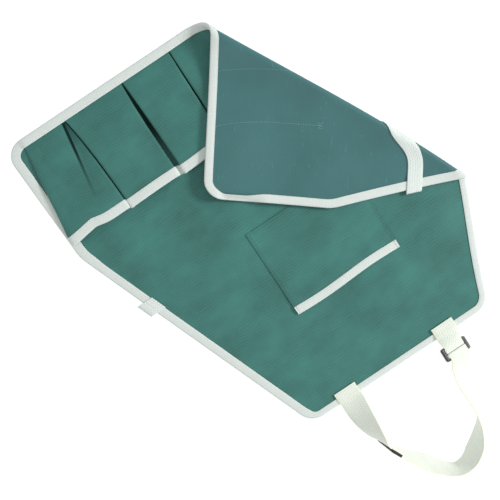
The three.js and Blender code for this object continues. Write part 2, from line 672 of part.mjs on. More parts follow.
// The waist belt: from its lap on the left edge tape's front, out into a small loop, under the
// sheet, straight across the back and over the roll, round the right edge to its lap there
const BELT_TURN_STEPS = 6;
const BELT_TURN_IN = -3;
const BELT_STEP = 34;
const BELT_CLEAR_OF_ROLL = 25;
const BELT_RIGHT_LOOP = BELT_LOOP * 0.4;
function waistBelt() {
  const frontOfTape = CLOTH + TAPE_GAP + TAPE + BELT_GAP;
  const backOfTape = -TAPE_GAP - TAPE - BELT_GAP - BELT;
  const s0 = leftEdge(BELT_HEIGHT);
  const s1 = rightEdge(BELT_HEIGHT);
  const turn = (frontOfTape - backOfTape - BELT) / 2 + BELT;
  const middle = (frontOfTape + backOfTape + BELT) / 2;
  // How far in from the edge, and the height of the belt's inner face over the sheet's back
  const end = (loop) => {
    const inner = backOfTape + BELT;
    const rows = [BELT_LAP, BELT_LAP / 4, BELT_TURN_IN].map((x) => ({ in: x, h: frontOfTape }));
    for (let k = 1; k < BELT_TURN_STEPS; k += 1) {
      const angle = Math.PI * k / BELT_TURN_STEPS;
      rows.push({
        in: BELT_TURN_IN - (loop + BELT_TURN_IN) * Math.sin(angle),
        h: middle + (turn - BELT) * Math.cos(angle),
      });
    }
    rows.push(...[BELT_TURN_IN, TAPE_WIDTH / 2, TAPE_WIDTH + 5].map((x) => ({ in: x, h: inner })));
    return rows;
  };
  // Every place on the belt's way knows its s at a height t, so that the belt meets slanted
  // edges and the rays of the roll squarely
  const path = end(BELT_LOOP).map((row) => ({ sAt: (t) => leftEdge(t) + row.in, h: row.h }));
  const flat = (x) => ({ sAt: () => x, h: -BELT_GAP });
  const rays = ROLL_RAYS.map((ray) => ({
    sAt: (t) => ray.at[0] + (t - ray.at[1]) * ray.along[0] / ray.along[1], h: -BELT_GAP,
  })).filter(({ sAt }) => sAt(BELT_HEIGHT) > s0 && sAt(BELT_HEIGHT) < s1 - TAPE_WIDTH * 2);
  rays.sort((p, q) => p.sAt(BELT_HEIGHT) - q.sAt(BELT_HEIGHT));
  const flatEnd = rays[0].sAt(BELT_HEIGHT) - BELT_CLEAR_OF_ROLL;
  for (let x = s0 + BELT_STEP; x < flatEnd; x += BELT_STEP) path.push(flat(x));
  path.push(...rays);
  const rightEnd = end(BELT_RIGHT_LOOP).reverse();
  path.push(...rightEnd.map((row) => ({ sAt: (t) => rightEdge(t) - row.in, h: row.h })));
  const half = BELT_WIDTH / 2;
  const rings = path.map((place, i) => {
    const a = path[Math.max(0, i - 1)];
    const b = path[Math.min(path.length - 1, i + 1)];
    const way = unit([a.sAt(BELT_HEIGHT), a.h], [b.sAt(BELT_HEIGHT), b.h]);
    // Outwards is away from the sheet: to the left of the way along the belt
    const out = [-way[1], way[0]].map((x) => -x * BELT);
    const corner = (side, share) => {
      const t = BELT_HEIGHT + side * half;
      return cloth(place.sAt(t) + out[0] * share, t, place.h + out[1] * share);
    };
    return [corner(-1, 0), corner(1, 0), corner(1, 1), corner(-1, 1)];
  });
  return barFromRings('waist_belt', rings, [[0, 0], [1, 0], [1, 1], [0, 1]], webbingFinish());
}

// The neck loop, from its lap on the bib's left to its lap on the right. across is a share of
// half the hem width from the middle, up a share of the loop's reach past the bib's top, height
// a share of the strap's width, and w the way across the strap from its outer to its inner edge.
const NECK_STATIONS = [
  { across: 0.286, up: -STRAP_LAP / NECK_REACH, height: 0.14, w: [-1, 0, 0.01] },
  { across: 0.286, up: -0.03, height: 0.14, w: [-1, 0, 0.01] },
  { across: 0.284, up: 0.02, height: 0.15, w: [-1, 0, 0.05] },
  { across: 0.288, up: 0.156, height: 0.38, w: [-0.93, 0.08, 0.37] },
  { across: 0.287, up: 0.298, height: 0.68, w: [-0.7, 0.27, 0.66] },
  { across: 0.279, up: 0.41, height: 0.85, w: [-0.38, 0.36, 0.85] },
  { across: 0.262, up: 0.503, height: 0.68, w: [-0.2, 0.46, 0.87], slider: 'left' },
  { across: 0.233, up: 0.595, height: 0.46, w: [-0.06, 0.56, 0.83] },
  { across: 0.193, up: 0.695, height: 0.43, w: [0.08, 0.56, 0.82] },
  { across: 0.15, up: 0.79, height: 0.4, w: [0.2, 0.62, 0.74] },
  { across: 0.095, up: 0.9, height: 0.42, w: [0.08, 0.6, 0.79] },
  { across: 0.045, up: 0.96, height: 0.47, w: [-0.12, 0.44, 0.89] },
  { across: -0.013, up: 0.955, height: 0.46, w: [-0.29, 0.44, 0.85] },
  { across: -0.067, up: 0.899, height: 0.45, w: [-0.42, 0.38, 0.82] },
  { across: -0.11, up: 0.825, height: 0.535, w: [-0.27, 0.2, 0.93] },
  { across: -0.147, up: 0.746, height: 0.545, w: [-0.03, 0.0, 1.0] },
  { across: -0.172, up: 0.66, height: 0.5, w: [0.19, -0.22, 0.95] },
  { across: -0.19, up: 0.559, height: 0.4, w: [0.44, -0.55, 0.71] },
  { across: -0.207, up: 0.431, height: 0.34, w: [0.68, -0.5, 0.5] },
  { across: -0.238, up: 0.285, height: 0.28, w: [0.9, -0.22, 0.36] },
  { across: -0.255, up: 0.15, height: 0.24, w: [0.96, -0.05, 0.24], slider: 'right' },
  { across: -0.264, up: 0.02, height: 0.16, w: [0.99, 0, 0.08] },
  { across: -0.266, up: -0.03, height: 0.14, w: [1, 0, 0.01] },
  { across: -0.266, up: -STRAP_LAP / NECK_REACH, height: 0.14, w: [1, 0, 0.01] },
];
// How far the strap stands off its own line where it goes over a slider's two end bars and
// under its middle bar, at places along the slider
const endBar = SLIDER_LENGTH / 2 - SLIDER_BAR / 2;
const overBar = SLIDER_THICKNESS / 2 + THREAD_GAP + STRAP / 2;
const middleEdge = SLIDER_MIDDLE_BAR / 2;
const THREADING = [
  [0, -overBar], [middleEdge + 0.4, -overBar + 0.05], [middleEdge + 1.4, -overBar + 0.65],
  [endBar - 2.8, overBar - 0.65], [endBar - 1.8, overBar - 0.05], [endBar, overBar + 0.05],
  [endBar + 1.8, overBar - 0.05], [endBar + 3.6, overBar - 0.45], [endBar + 8.6, 0.8], [endBar + 14.6, 0],
];
const neckPoints = NECK_STATIONS.map(({ across, up, height }) => vec(
  across * HEM_WIDTH / 2, APRON_HEIGHT + up * NECK_REACH, height * STRAP_WIDTH,
));
const neckLine = new THREE.CatmullRomCurve3(neckPoints, false, 'centripetal');
neckLine.arcLengthDivisions = 2000;
const neckLength = neckLine.getLength();
// Where along the line each station is, and the strap's way across at any place between them
const stationAt = neckPoints.map((point, i) => {
  const lengths = neckLine.getLengths(2000);
  return lengths[Math.round(2000 * i / (neckPoints.length - 1))];
});
function acrossStrap(x) {
  const turned = [0, 1, 2].map((k) => tableAt(stationAt.map((at, i) => [at, NECK_STATIONS[i].w[k]]), x));
  return vec(...turned).normalize();
}
function strapFrame(x) {
  const u = Math.min(1, Math.max(0, x / neckLength));
  const way = neckLine.getTangentAt(u);
  const across = acrossStrap(x);
  way.addScaledVector(across, -way.dot(across)).normalize();
  return { at: neckLine.getPointAt(u), way, across, face: across.clone().cross(way) };
}
const sliderPlaces = NECK_STATIONS
  .map((station, i) => ({ name: station.slider, x: stationAt[i] }))
  .filter(({ name }) => name)
  .map((slider) => ({ ...slider, frame: strapFrame(slider.x) }));
const STRAIGHT_HALF = SLIDER_LENGTH / 2 + 2;
const STRAIGHT_BLEND = 14;
function strapAt(x) {
  const frame = strapFrame(x);
  let lift = 0;
  for (const slider of sliderPlaces) {
    const a = x - slider.x;
    const hold = 1 - ease((Math.abs(a) - STRAIGHT_HALF) / STRAIGHT_BLEND);
    if (hold > 0) {
      const straight = slider.frame.at.clone().addScaledVector(slider.frame.way, a);
      frame.at.lerp(straight, hold);
      for (const key of ['way', 'across', 'face']) frame[key].lerp(slider.frame[key], hold).normalize();
    }
    lift += tableAt(THREADING, Math.abs(a));
  }
  frame.at.addScaledVector(frame.face, lift * faceSign);
  return frame;
}
// The strap's front is the face that looks up at the bib
const faceSign = Math.sign(strapFrame(0).face.z);
const STRAP_STEP = 11;
function neckStrap() {
  const threaded = THREADING.map(([a]) => a).flatMap((a) => (a === 0 ? [0] : [a, -a]));
  const places = sliderPlaces.flatMap((slider) => threaded.map((a) => slider.x + a));
  const reach = THREADING[THREADING.length - 1][0] + STRAP_STEP / 2;
  const count = Math.round(neckLength / STRAP_STEP);
  for (let k = 0; k <= count; k += 1) {
    const x = neckLength * k / count;
    if (sliderPlaces.every((slider) => Math.abs(x - slider.x) > reach)) places.push(x);
  }
  places.sort((a, b) => a - b);
  const section = [[-1, -1], [1, -1], [1, 1], [-1, 1]];
  const line = places.map(strapAt);
  const rings = line.map((frame, i) => {
    const before = line[Math.max(0, i - 1)].at;
    const after = line[Math.min(line.length - 1, i + 1)].at;
    const way = after.clone().sub(before).normalize();
    const face = frame.across.clone().cross(way).normalize();
    return section.map(([a, b]) => frame.at.clone()
      .addScaledVector(frame.across, a * STRAP_WIDTH / 2).addScaledVector(face, b * STRAP / 2));
  });
  return barFromRings('neck_strap', rings, section, webbingFinish());
}
// A slider: a flat moulded frame with a bar across its middle, between two slots
function neckSlider({ name, frame }) {
  const halfWidth = SLIDER_WIDTH / 2;
  const halfLength = SLIDER_LENGTH / 2;
  const shape = new THREE.Shape();
  const round = SLIDER_CORNER;
  shape.moveTo(halfWidth - round, -halfLength);
  shape.absarc(halfWidth - round, -halfLength + round, round, -Math.PI / 2, 0, false);
  shape.absarc(halfWidth - round, halfLength - round, round, 0, Math.PI / 2, false);
  shape.absarc(-halfWidth + round, halfLength - round, round, Math.PI / 2, Math.PI, false);
  shape.absarc(-halfWidth + round, -halfLength + round, round, Math.PI, Math.PI * 1.5, false);
  for (const side of [-1, 1]) {
    const near = side * SLIDER_MIDDLE_BAR / 2;
    const far = side * (halfLength - SLIDER_BAR);
    const slot = new THREE.Path();
    slot.moveTo(-halfWidth + SLIDER_RAIL, near);
    slot.lineTo(-halfWidth + SLIDER_RAIL, far);
    slot.lineTo(halfWidth - SLIDER_RAIL, far);
    slot.lineTo(halfWidth - SLIDER_RAIL, near);
    shape.holes.push(slot);
  }
  const geometry = new THREE.ExtrudeGeometry(shape, {
    depth: SLIDER_THICKNESS, bevelEnabled: false, curveSegments: 3,
  });
  geometry.translate(0, 0, -SLIDER_THICKNESS / 2);
  geometry.deleteAttribute('normal');
  geometry.deleteAttribute('uv');
  const mesh = new THREE.Mesh(mergeVertices(geometry, 1e-4), sliderFinish());
  mesh.name = `neck_slider_${name}`;
  const face = frame.across.clone().cross(frame.way);
  const turn = new THREE.Matrix4().makeBasis(frame.across, frame.way, face);
  mesh.quaternion.setFromRotationMatrix(turn);
  mesh.position.copy(frame.at);
  return mesh;
}

const group = new THREE.Group();
const model = new THREE.Group();
group.add(model);
model.add(apronPanel());

const plainFront = () => CLOTH;
const pocketFront = () => POCKET_BASE + CLOTH + ROLL_ROOM * 2;
model.add(edgeTape('hem_tape', runAfter('hem_left'), pocketFront));
model.add(edgeTape('right_tape', [
  ...arcOf('hem_right'), ...runAfter('hem_right'),
  ...arcOf('taper_right'), ...runAfter('taper_right'), ...arcOf('bib_right'),
], plainFront));
model.add(edgeTape('bib_tape', runAfter('bib_right'), plainFront));
model.add(edgeTape('left_tape', [
  ...arcOf('bib_left'), ...runAfter('bib_left'),
  ...arcOf('taper_left'), ...runAfter('taper_left'), ...arcOf('hem_left'),
], plainFront));
model.add(pocketPanel());
model.add(pocketMouthTape());
model.add(bibPocket());
model.add(bibPocketTape());
model.add(waistBelt());
model.add(neckStrap());
sliderPlaces.forEach((slider) => model.add(neckSlider(slider)));

// The middle of the whole thing's footprint stands at the origin, and its underside on z = 0
model.updateMatrixWorld(true);
const box = new THREE.Box3().setFromObject(model, true);
const middle = box.getCenter(vec(0, 0, 0));
model.position.set(-middle.x, -middle.y, -box.min.z);

export default group;
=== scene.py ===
"""A gardening work apron of coated green cloth, made as separate sewn pieces round the packed solids.

It lies front side up with one side folded over. Lengths are worked out in millimetres on the
apron's flat pattern: s runs along the hem from the left side, t up from the hem, and h is the
height over the sheet's back face. The row frame is in metres.
"""

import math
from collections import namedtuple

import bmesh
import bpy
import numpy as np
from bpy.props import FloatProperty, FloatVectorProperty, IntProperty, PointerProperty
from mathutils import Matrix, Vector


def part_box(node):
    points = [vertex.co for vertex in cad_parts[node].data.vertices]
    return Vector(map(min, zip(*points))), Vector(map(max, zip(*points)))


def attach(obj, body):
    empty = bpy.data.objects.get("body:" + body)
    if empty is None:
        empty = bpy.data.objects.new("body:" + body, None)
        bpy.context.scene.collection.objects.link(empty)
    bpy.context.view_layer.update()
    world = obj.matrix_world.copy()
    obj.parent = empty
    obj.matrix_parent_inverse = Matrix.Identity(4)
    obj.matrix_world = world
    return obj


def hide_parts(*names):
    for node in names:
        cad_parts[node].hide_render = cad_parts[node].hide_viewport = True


bl_info = {
    "name": "Gardening work apron",
    "version": (1, 0, 0),
    "blender": (4, 5, 0),
    "location": "View3D > Sidebar > Apron",
    "description": "Builds a bib apron with pockets, bound edges and straps, lying with one side folded over",
    "category": "Add Mesh",
}

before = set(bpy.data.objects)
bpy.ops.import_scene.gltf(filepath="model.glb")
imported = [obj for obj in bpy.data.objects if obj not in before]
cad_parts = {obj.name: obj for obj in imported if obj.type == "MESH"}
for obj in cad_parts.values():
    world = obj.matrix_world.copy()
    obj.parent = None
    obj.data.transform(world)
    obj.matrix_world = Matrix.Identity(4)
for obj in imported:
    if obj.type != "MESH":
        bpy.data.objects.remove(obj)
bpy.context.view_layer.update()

MM = 0.001


def linear(hex_text):
    """The linear colour that shaders take, from an sRGB hex value."""
    shares = [int(hex_text[i:i + 2], 16) / 255 for i in (0, 2, 4)]
    light = [c / 12.92 if c <= 0.04045 else ((c + 0.055) / 1.055) ** 2.4 for c in shares]
    return (*light, 1.0)


def ease(x):
    x = np.clip(x, 0.0, 1.0)
    return x * x * (3 - 2 * x)


def mix(a, b, share):
    return a + (b - a) * share


def onset(x, start, over):
    """How far x has set in past a start, from 0 to 1 over a length."""
    return ease((x - start) / over)


def distances(line):
    """How far along a line of points each of them is."""
    return np.concatenate([[0], np.cumsum(np.linalg.norm(np.diff(line, axis=0), axis=1))])


def unit(vectors):
    """The same directions with a length of one."""
    return vectors / np.linalg.norm(vectors, axis=-1, keepdims=True)


# Sizes and colours that a user would change


def length(name, description, millimetres):
    return FloatProperty(
        name=name, description=description, default=millimetres * MM, unit="LENGTH", precision=4
    )


def colour(name, description, hex_text):
    return FloatVectorProperty(
        name=name, description=description, default=linear(hex_text), subtype="COLOR", size=4,
        min=0.0, max=1.0,
    )


class ApronPattern(bpy.types.PropertyGroup):
    """The flat pattern that the apron is cut and sewn from."""

    hem_width: length("Hem width", "Width of the apron at the hem", 660)
    height: length("Height", "From the hem to the bib's top edge", 620)
    bib_width: length("Bib width", "Width of the bib's top edge", 330)
    side_height: length("Side height", "How high the straight sides go", 205)
    side_pull: length("Side pull", "How far the sides draw in on that height", 7)
    hem_corner: length("Hem corner", "Radius of the hem's corners", 28)
    taper_corner: length("Taper corner", "Radius where the sides turn in to the bib", 70)
    bib_corner: length("Bib corner", "Radius of the bib's corners", 30)
    cloth: length("Cloth", "Thickness of the cloth", 1.0)
    tape_width: length("Tape width", "Width of the binding on each face", 14)
    tape: length("Tape", "Thickness of the binding", 1.0)
    tape_gap: length("Tape gap", "Room between the binding and the cloth", 0.4)


class ApronPockets(bpy.types.PropertyGroup):
    """The pocket strip along the hem and the patch pocket on the bib."""

    height: length("Strip height", "Height of the pocket strip", 183)
    swell: length("Swell", "How far the pockets stand open at their mouths", 7)
    crown: length("Crown", "How much further the middle of a pocket stands up", 1.2)
    shoulder: length("Shoulder", "Width of a pocket's turned edge", 3.4)
    bib_width: length("Bib pocket width", "Width of the bib pocket", 190)
    bib_height: length("Bib pocket height", "Height of the bib pocket", 148)
    bib_foot: length("Bib pocket foot", "Height of its foot over the hem", 319)
    bib_offset: length("Bib pocket offset", "How far it stands off the middle", 6)
    bib_tape: length("Bib tape width", "Width of the binding at its mouth", 12)


class ApronStraps(bpy.types.PropertyGroup):
    """The waist belt and the neck strap."""

    belt_width: length("Belt width", "Width of the waist belt", 25)
    belt: length("Belt", "Thickness of the waist belt", 1.2)
    belt_height: length("Belt height", "Height of the belt over the hem", 331)
    belt_loop: length("Belt loop", "How far its left loop stands out", 12)
    belt_lap: length("Belt lap", "How far its ends lap over the front", 15)
    strap_width: length("Neck strap width", "Width of the neck strap", 38)
    strap: length("Neck strap", "Thickness of the neck strap", 1.4)
    strap_lap: length("Neck strap lap", "How far its ends lap over the bib", 16)
    reach: length("Neck reach", "How far the neck loop reaches past the bib", 192)


class ApronFold(bpy.types.PropertyGroup):
    """The side that is folded over: a roll like part of a cone."""

    start: length("Fold start", "Where the roll starts on the hem", 341)
    turn: FloatProperty(name="Fold turn", description="Angle between the roll and the apron's length",
                        default=math.radians(26.5), subtype="ANGLE")
    radius: length("Roll radius", "Radius of the roll at the hem", 16)
    apex: length("Roll apex", "From the hem to the cone's point", 760)
    lift: length("Flap lift", "Height of the flap over the surface", 13)


class ApronThread(bpy.types.PropertyGroup):
    """Stitches."""

    pitch: length("Stitch pitch", "From one stitch to the next", 3.0)
    stitch: length("Stitch length", "Length of one stitch", 2.2)
    radius: length("Thread radius", "Radius of the sewing thread", 0.26)
    sides: IntProperty(name="Thread sides", description="Sides of a stitch's section", default=6, min=3)


class ApronColours(bpy.types.PropertyGroup):
    """Colours, as the photo's light shows them."""

    face: colour("Cloth face", "Woven face of the cloth", "337169")
    back: colour("Cloth back", "Coated back of the cloth", "3b6c6d")
    tape: colour("Binding", "Binding tape", "d5ddd9")
    webbing: colour("Neck webbing", "Neck strap", "cfd5ca")
    belt: colour("Belt webbing", "Waist belt", "dbe4df")
    slider: colour("Sliders", "Moulded sliders", "1a1d24")
    thread: colour("Pale thread", "Thread of the bindings and straps", "dcdfd2")
    dark_thread: colour("Dark thread", "Thread of the patch pocket", "24564b")
    seam_thread: colour("Seam thread", "Thread of the pocket seams on the cloth's back", "bccab0")
    # The neck strap's edges are drawn yellow-green: partly their own tone, partly a painted highlight of
    # their lit edges
    selvedge: colour("Selvedge", "Edges of the webbing", "dfe2a8")
    floor: colour("Floor", "Surface under the apron", "a0a0a0")


GROUPS = {
    "apron_pattern": ApronPattern,
    "apron_pockets": ApronPockets,
    "apron_straps": ApronStraps,
    "apron_fold": ApronFold,
    "apron_thread": ApronThread,
    "apron_colours": ApronColours,
}

# The five seams between the six pockets: where each stands at the hem and at the mouths, as
# shares of the hem's width, half the gap that its pleat leaves open at the mouths in mm, and
# whether the pleat reaches in under the pockets' edges
Seam = namedtuple("Seam", "foot mouth gap under")
SEAMS = [
    Seam(0.157, 0.170, 2.0, 1),
    Seam(0.321, 0.318, 5.2, 1),
    Seam(0.456, 0.450, 2.2, 1),
    Seam(0.692, 0.670, 2.5, 0),
    Seam(0.828, 0.800, 2.5, 0),
]
# One side of a pleat, from the pocket's flat front round its folded edge and down to the pleat's
# bottom: how far out from the gap's edge in mm where it reaches in under the pocket and where it
# doesn't, and how high as a share of the swell
PLEAT = [(6.0, 6.0, 1.0), (3.0, 3.0, 0.995), (1.2, 1.2, 0.96), (0.35, 0.5, 0.88), (0.0, 0.2, 0.76),
         (0.5, 0.0, 0.6), (2.2, -0.2, 0.42), (3.7, -0.4, 0.2), (3.3, -0.7, 0.04), (1.4, -1.2, 0.0)]
# From one column of a pleat to the next at the hem, in mm, and from one to the next between pleats
PLEAT_AT_FOOT = 0.3
COLUMN_STEP = 3.6
POCKET_SIDE_INSET = 17
# The strip's left edge, from its outermost column inwards: place past its inset at the hem, place
# at the mouth as a share of that inset, and rise
SIDE_EDGE = [(0, 0.24, 0), (0.5, 0.16, 0.16), (1, 0.14, 0.33), (2, 0.17, 0.55), (3, 0.24, 0.7),
             (5, 0.38, 0.85), (7, 0.55, 0.94), (14, 1.0, 1.0)]
# What is left of the pockets' swell where the folded side presses on them
PRESSED_SWELL = 0.3

# The roll goes this far past half a turn, and the flap comes level again over this angle round the
# cone's point
OVERTURN = math.radians(18)
RELEASE = 0.3
ROLL_STEPS, RELEASE_STEPS, FLAP_STEPS = 96, 48, 60
# The fold isn't quite straight. It bows by shares of the apron's height for the place along it, its
# square and its cube, and the bow fades in over a distance before the roll.
BOW = (0.0355, 0.0868, -0.1213)
BOW_REACH = 140
# How the folded side is shifted along s and along t: a share of the hem's width, a share of the
# distance from the right edge, and a share of t
GIVE = ((0.05, 0.055, -0.05), (0.03, 0.0365, -0.009))
# Heights in mm: how far the flap sinks past the pockets' mouths, how much higher it lies on the
# pockets and at the hem, and its ripples as a share of the sheet's
FLAP_SAG, FLAP_ON_POCKETS, FLAP_AT_HEM, FLAP_RIPPLE = 3, 6, 7, 0.6
# How far the flap's edge is drawn in near its corner, and how far it turns down
CURL_IN, CURL_DOWN = 5, 8
# Room between the belt and the cloth, and the lump that the belt's turned end makes
BELT_GAP = 0.55
ROOM_OVER_BELT = 0.3
BELT_LUMP = 2.05

# Slack in the lying cloth, in mm. A wave is a product of two sines, each given by the lengths on
# which s and t turn it by a radian and by its start. It sets in past a place s and t, over a length.
RIPPLE = 1.15
WAVES_TOTAL = 2.6
EVERYWHERE = -math.inf
FLAT = (math.inf, math.inf, math.pi / 2)
Wave = namedtuple("Wave", "strength first second from_s from_t over")
WAVES = [
    Wave(1.0, (31, 47, 0.6), (-88, 39, 1.9), EVERYWHERE, EVERYWHERE, 1),
    Wave(0.7, (19, -53, 2.2), (71, 71, 0), EVERYWHERE, EVERYWHERE, 1),
    Wave(0.6, (14, -17.5, 0.8), FLAT, 250, 400, 120),
    Wave(0.35, (15, 9, 0), (60, math.inf, 1.1), EVERYWHERE, 190, 60),
]


class Cloth:
    """The apron's sheet: takes places on the flat pattern to where they lie on the surface."""

    def __init__(self, scene):
        def millimetres(group):
            found = {}
            for name, prop in group.bl_rna.properties.items():
                if prop.type == "FLOAT" and not prop.is_array:
                    value = getattr(group, name)
                    found[name] = value / MM if prop.unit == "LENGTH" else value
            return type("Sizes", (), found)

        self.p = millimetres(scene.apron_pattern)
        self.pockets = millimetres(scene.apron_pockets)
        self.straps = millimetres(scene.apron_straps)
        self.fold = millimetres(scene.apron_fold)
        self.width = self.p.hem_width
        self.height = self.p.height
        self.out = np.array([math.cos(self.fold.turn), -math.sin(self.fold.turn)])
        self.along = np.array([math.sin(self.fold.turn), math.cos(self.fold.turn)])
        self.roll_turn = (math.pi + OVERTURN) * self.fold.radius / self.fold.apex
        self.roll = self.roll_table()
        self.middle = np.zeros(3)
        # The flat pattern's left side and hem lie where the packed solid's do
        corners = np.array(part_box("apron_panel")) / MM
        widest = self.width / 2 - float(self.left(np.float64(self.p.hem_corner)))
        self.middle[0] = corners[1][0] - widest
        self.middle[1] = corners[0][1]

    def right(self, t):
        """The right edge's s at heights t: a nearly straight side, then the taper up to the bib."""
        p = self.p
        straight = self.width - p.side_pull * t / p.side_height
        taper = mix(self.width - p.side_pull, (self.width + p.bib_width) / 2,
                    (t - p.side_height) / (self.height - p.side_height))
        return np.where(t < p.side_height, straight, taper)

    def left(self, t):
        return self.width - self.right(t)

    def edge_slant(self, t):
        """How far in the left edge goes on one millimetre of height."""
        return float(self.left(np.float64(t + 1)) - self.left(np.float64(t)))

    def from_edge(self, s, t):
        """How far a place is from the pattern's nearest edge."""
        sideways = np.minimum(s - self.left(t), self.right(t) - s)
        return np.minimum(np.minimum(t, self.height - t), sideways)

    def roll_table(self):
        """Directions on a unit ball round the cone's point, for angles round the roll."""
        basis = np.eye(3)
        angle = 0.0
        rows = [(0.0, 1.0, 0.0, 0.0)]

        def go(total, bend, steps):
            nonlocal basis, angle
            rate = math.hypot(1, bend)
            for _ in range(steps):
                axis = Vector((basis[0] * bend + basis[2]) / rate)
                spin = np.array(Matrix.Rotation(rate * total / steps, 3, axis))
                basis = basis @ spin.T
                angle += total / steps
                rows.append((angle, *basis[0]))

        go(self.roll_turn, self.fold.apex / self.fold.radius, ROLL_STEPS)
        go(RELEASE, -OVERTURN / RELEASE, RELEASE_STEPS)
        level = rows[-1][3]
        go(2.0, 0.0, FLAP_STEPS)
        table = np.array(rows)
        table[:, 3] -= level * onset(table[:, 0], self.roll_turn, RELEASE)
        table[ROLL_STEPS + RELEASE_STEPS + 1:, 3] = 0
        return table

    def fold_place(self, s, t):
        """A place as its distances out past the roll's start and along it."""
        return tuple((s - self.fold.start) * way[0] + t * way[1] for way in (self.out, self.along))

    def rest(self, s, t):
        """Height of the sheet's underside where it isn't folded. The belt lies under its middle, and
        lifts it most at the left edge."""
        edge = self.p.tape + self.p.tape_gap
        over_belt = self.straps.belt + BELT_GAP + ROOM_OVER_BELT
        near = np.exp(-(((t - self.straps.belt_height) / 55) ** 2)) * (1 - ease((s - self.left(t)) / 130))
        return mix(edge, over_belt, onset(self.from_edge(s, t), 20, 80)) + BELT_LUMP * near

    def flap(self, t, plan_t):
        """Height of the folded side, which lies on the pockets."""
        mouths = self.pockets.height
        height = self.fold.lift - FLAP_SAG * onset(t, mouths, 120)
        height = height + FLAP_ON_POCKETS * ease((mouths + 85 - plan_t) / 120)
        return height + FLAP_AT_HEM * (1 - ease(t / 140))

    def ripple(self, s, t):
        """Height of the slack in the lying cloth, which fades towards the bound edges."""
        total = 0
        for wave in WAVES:
            sines = [np.sin(s / a + t / b + start) for a, b, start in (wave.first, wave.second)]
            set_in = onset(s, wave.from_s, wave.over) * onset(t, wave.from_t, wave.over)
            total = total + wave.strength * sines[0] * sines[1] * set_in
        return RIPPLE * (1 + total / WAVES_TOTAL) * ease(self.from_edge(s, t) / 55)

    def curl(self, s, t):
        """The folded side's edge turns down near its corner: how far in it is drawn and how far down."""
        edge = self.right(t) - s
        near = onset(t, 18, 16) * (1 - onset(t, 62, 40))
        return (CURL_IN * near * ease(edge / 16) * (1 - onset(edge, 16, 26)),
                CURL_DOWN * near * (1 - ease(edge / 20)))

    def point(self, s, t):
        """Places of the sheet's back face, in millimetres, as rows of x, y, z."""
        drawn, down = self.curl(s, t)
        s = s + drawn
        out, along = self.fold_place(s, t)
        back = self.fold.apex - along
        angle = np.maximum(np.arctan2(out, back), 0)
        reach = np.hypot(back, out)
        a, b, z = (np.interp(angle, self.roll[:, 0], self.roll[:, k]) for k in (1, 2, 3))
        folded = out > 0
        apex = (self.fold.start + self.fold.apex * self.along[0], self.fold.apex * self.along[1])
        plan = [np.where(folded, apex[k] + reach * (b * self.out[k] - a * self.along[k]), flat)
                for k, flat in enumerate((s, t))]
        share = ease(angle / self.roll_turn)
        released = onset(angle, self.roll_turn, RELEASE)
        l = along / self.height
        bow = self.height * (BOW[0] * l + BOW[1] * l * l + BOW[2] * l ** 3) * ease(1 + out / BOW_REACH)
        for k, (fixed, of_s, of_t) in enumerate(GIVE):
            give = fixed * self.width + of_s * (s - self.width) + of_t * t
            plan[k] = plan[k] + share * give + bow * self.out[k]
        ripple = self.ripple(s, t)
        height = np.where(folded, reach * z, 0.0) + (1 - share) * (self.rest(s, t) + ripple)
        height = height + released * (self.flap(t, plan[1]) - down + FLAP_RIPPLE * ripple)
        return np.stack([self.width / 2 - plan[0], plan[1], height], axis=-1)

    def over(self, s, t, h):
        """Places at height h over the sheet's back face, on the side of its front face."""
        s, t, h = np.broadcast_arrays(*(np.asarray(v, float) for v in (s, t, h)))
        probe = 0.6
        across = self.point(s + probe, t) - self.point(s - probe, t)
        up = self.point(s, t + probe) - self.point(s, t - probe)
        return self.point(s, t) + unit(np.cross(up, across)) * h[..., None] + self.middle


def new_object(name, vertices, faces, uvs, slots=None, marks=None):
    """A mesh object from points and their places on the cloth in millimetres, and faces. marks are
    named numbers, one for every point, which the materials read."""
    if not np.all(np.isfinite(np.asarray(vertices, float))):
        raise ValueError(name + " has a point that isn't a number")
    mesh = bpy.data.meshes.new(name)
    mesh.from_pydata((np.asarray(vertices) * MM).tolist(), [], [list(map(int, f)) for f in faces])
    layer = mesh.uv_layers.new(name="cloth")
    index = np.zeros(len(mesh.loops), np.int32)
    mesh.loops.foreach_get("vertex_index", index)
    layer.data.foreach_set("uv", (np.asarray(uvs)[index] * MM).astype(np.float32).ravel())
    for mark, values in (marks or {}).items():
        attribute = mesh.attributes.new(mark, "FLOAT", "POINT")
        attribute.data.foreach_set("value", np.asarray(values, np.float32).ravel())
    if slots is not None:
        mesh.polygons.foreach_set("material_index", np.asarray(slots, np.int32))
    mesh.polygons.foreach_set("use_smooth", [True] * len(mesh.polygons))
    mesh.update()
    thing = bpy.data.objects.new(name, mesh)
    bpy.context.scene.collection.objects.link(thing)
    return thing


def outwards(thing):
    """Turns the whole of a closed mesh the right way out."""
    work = bmesh.new()
    work.from_mesh(thing.data)
    bmesh.ops.remove_doubles(work, verts=work.verts, dist=1e-7)
    if work.calc_volume(signed=True) < 0:
        bmesh.ops.reverse_faces(work, faces=work.faces)
    work.to_mesh(thing.data)
    work.free()
    thing.data.update()


def sharp_edges(thing, degrees):
    """Keeps the edges sharper than an angle crisp under smooth shading."""
    thing.data.set_sharp_from_angle(angle=math.radians(degrees))


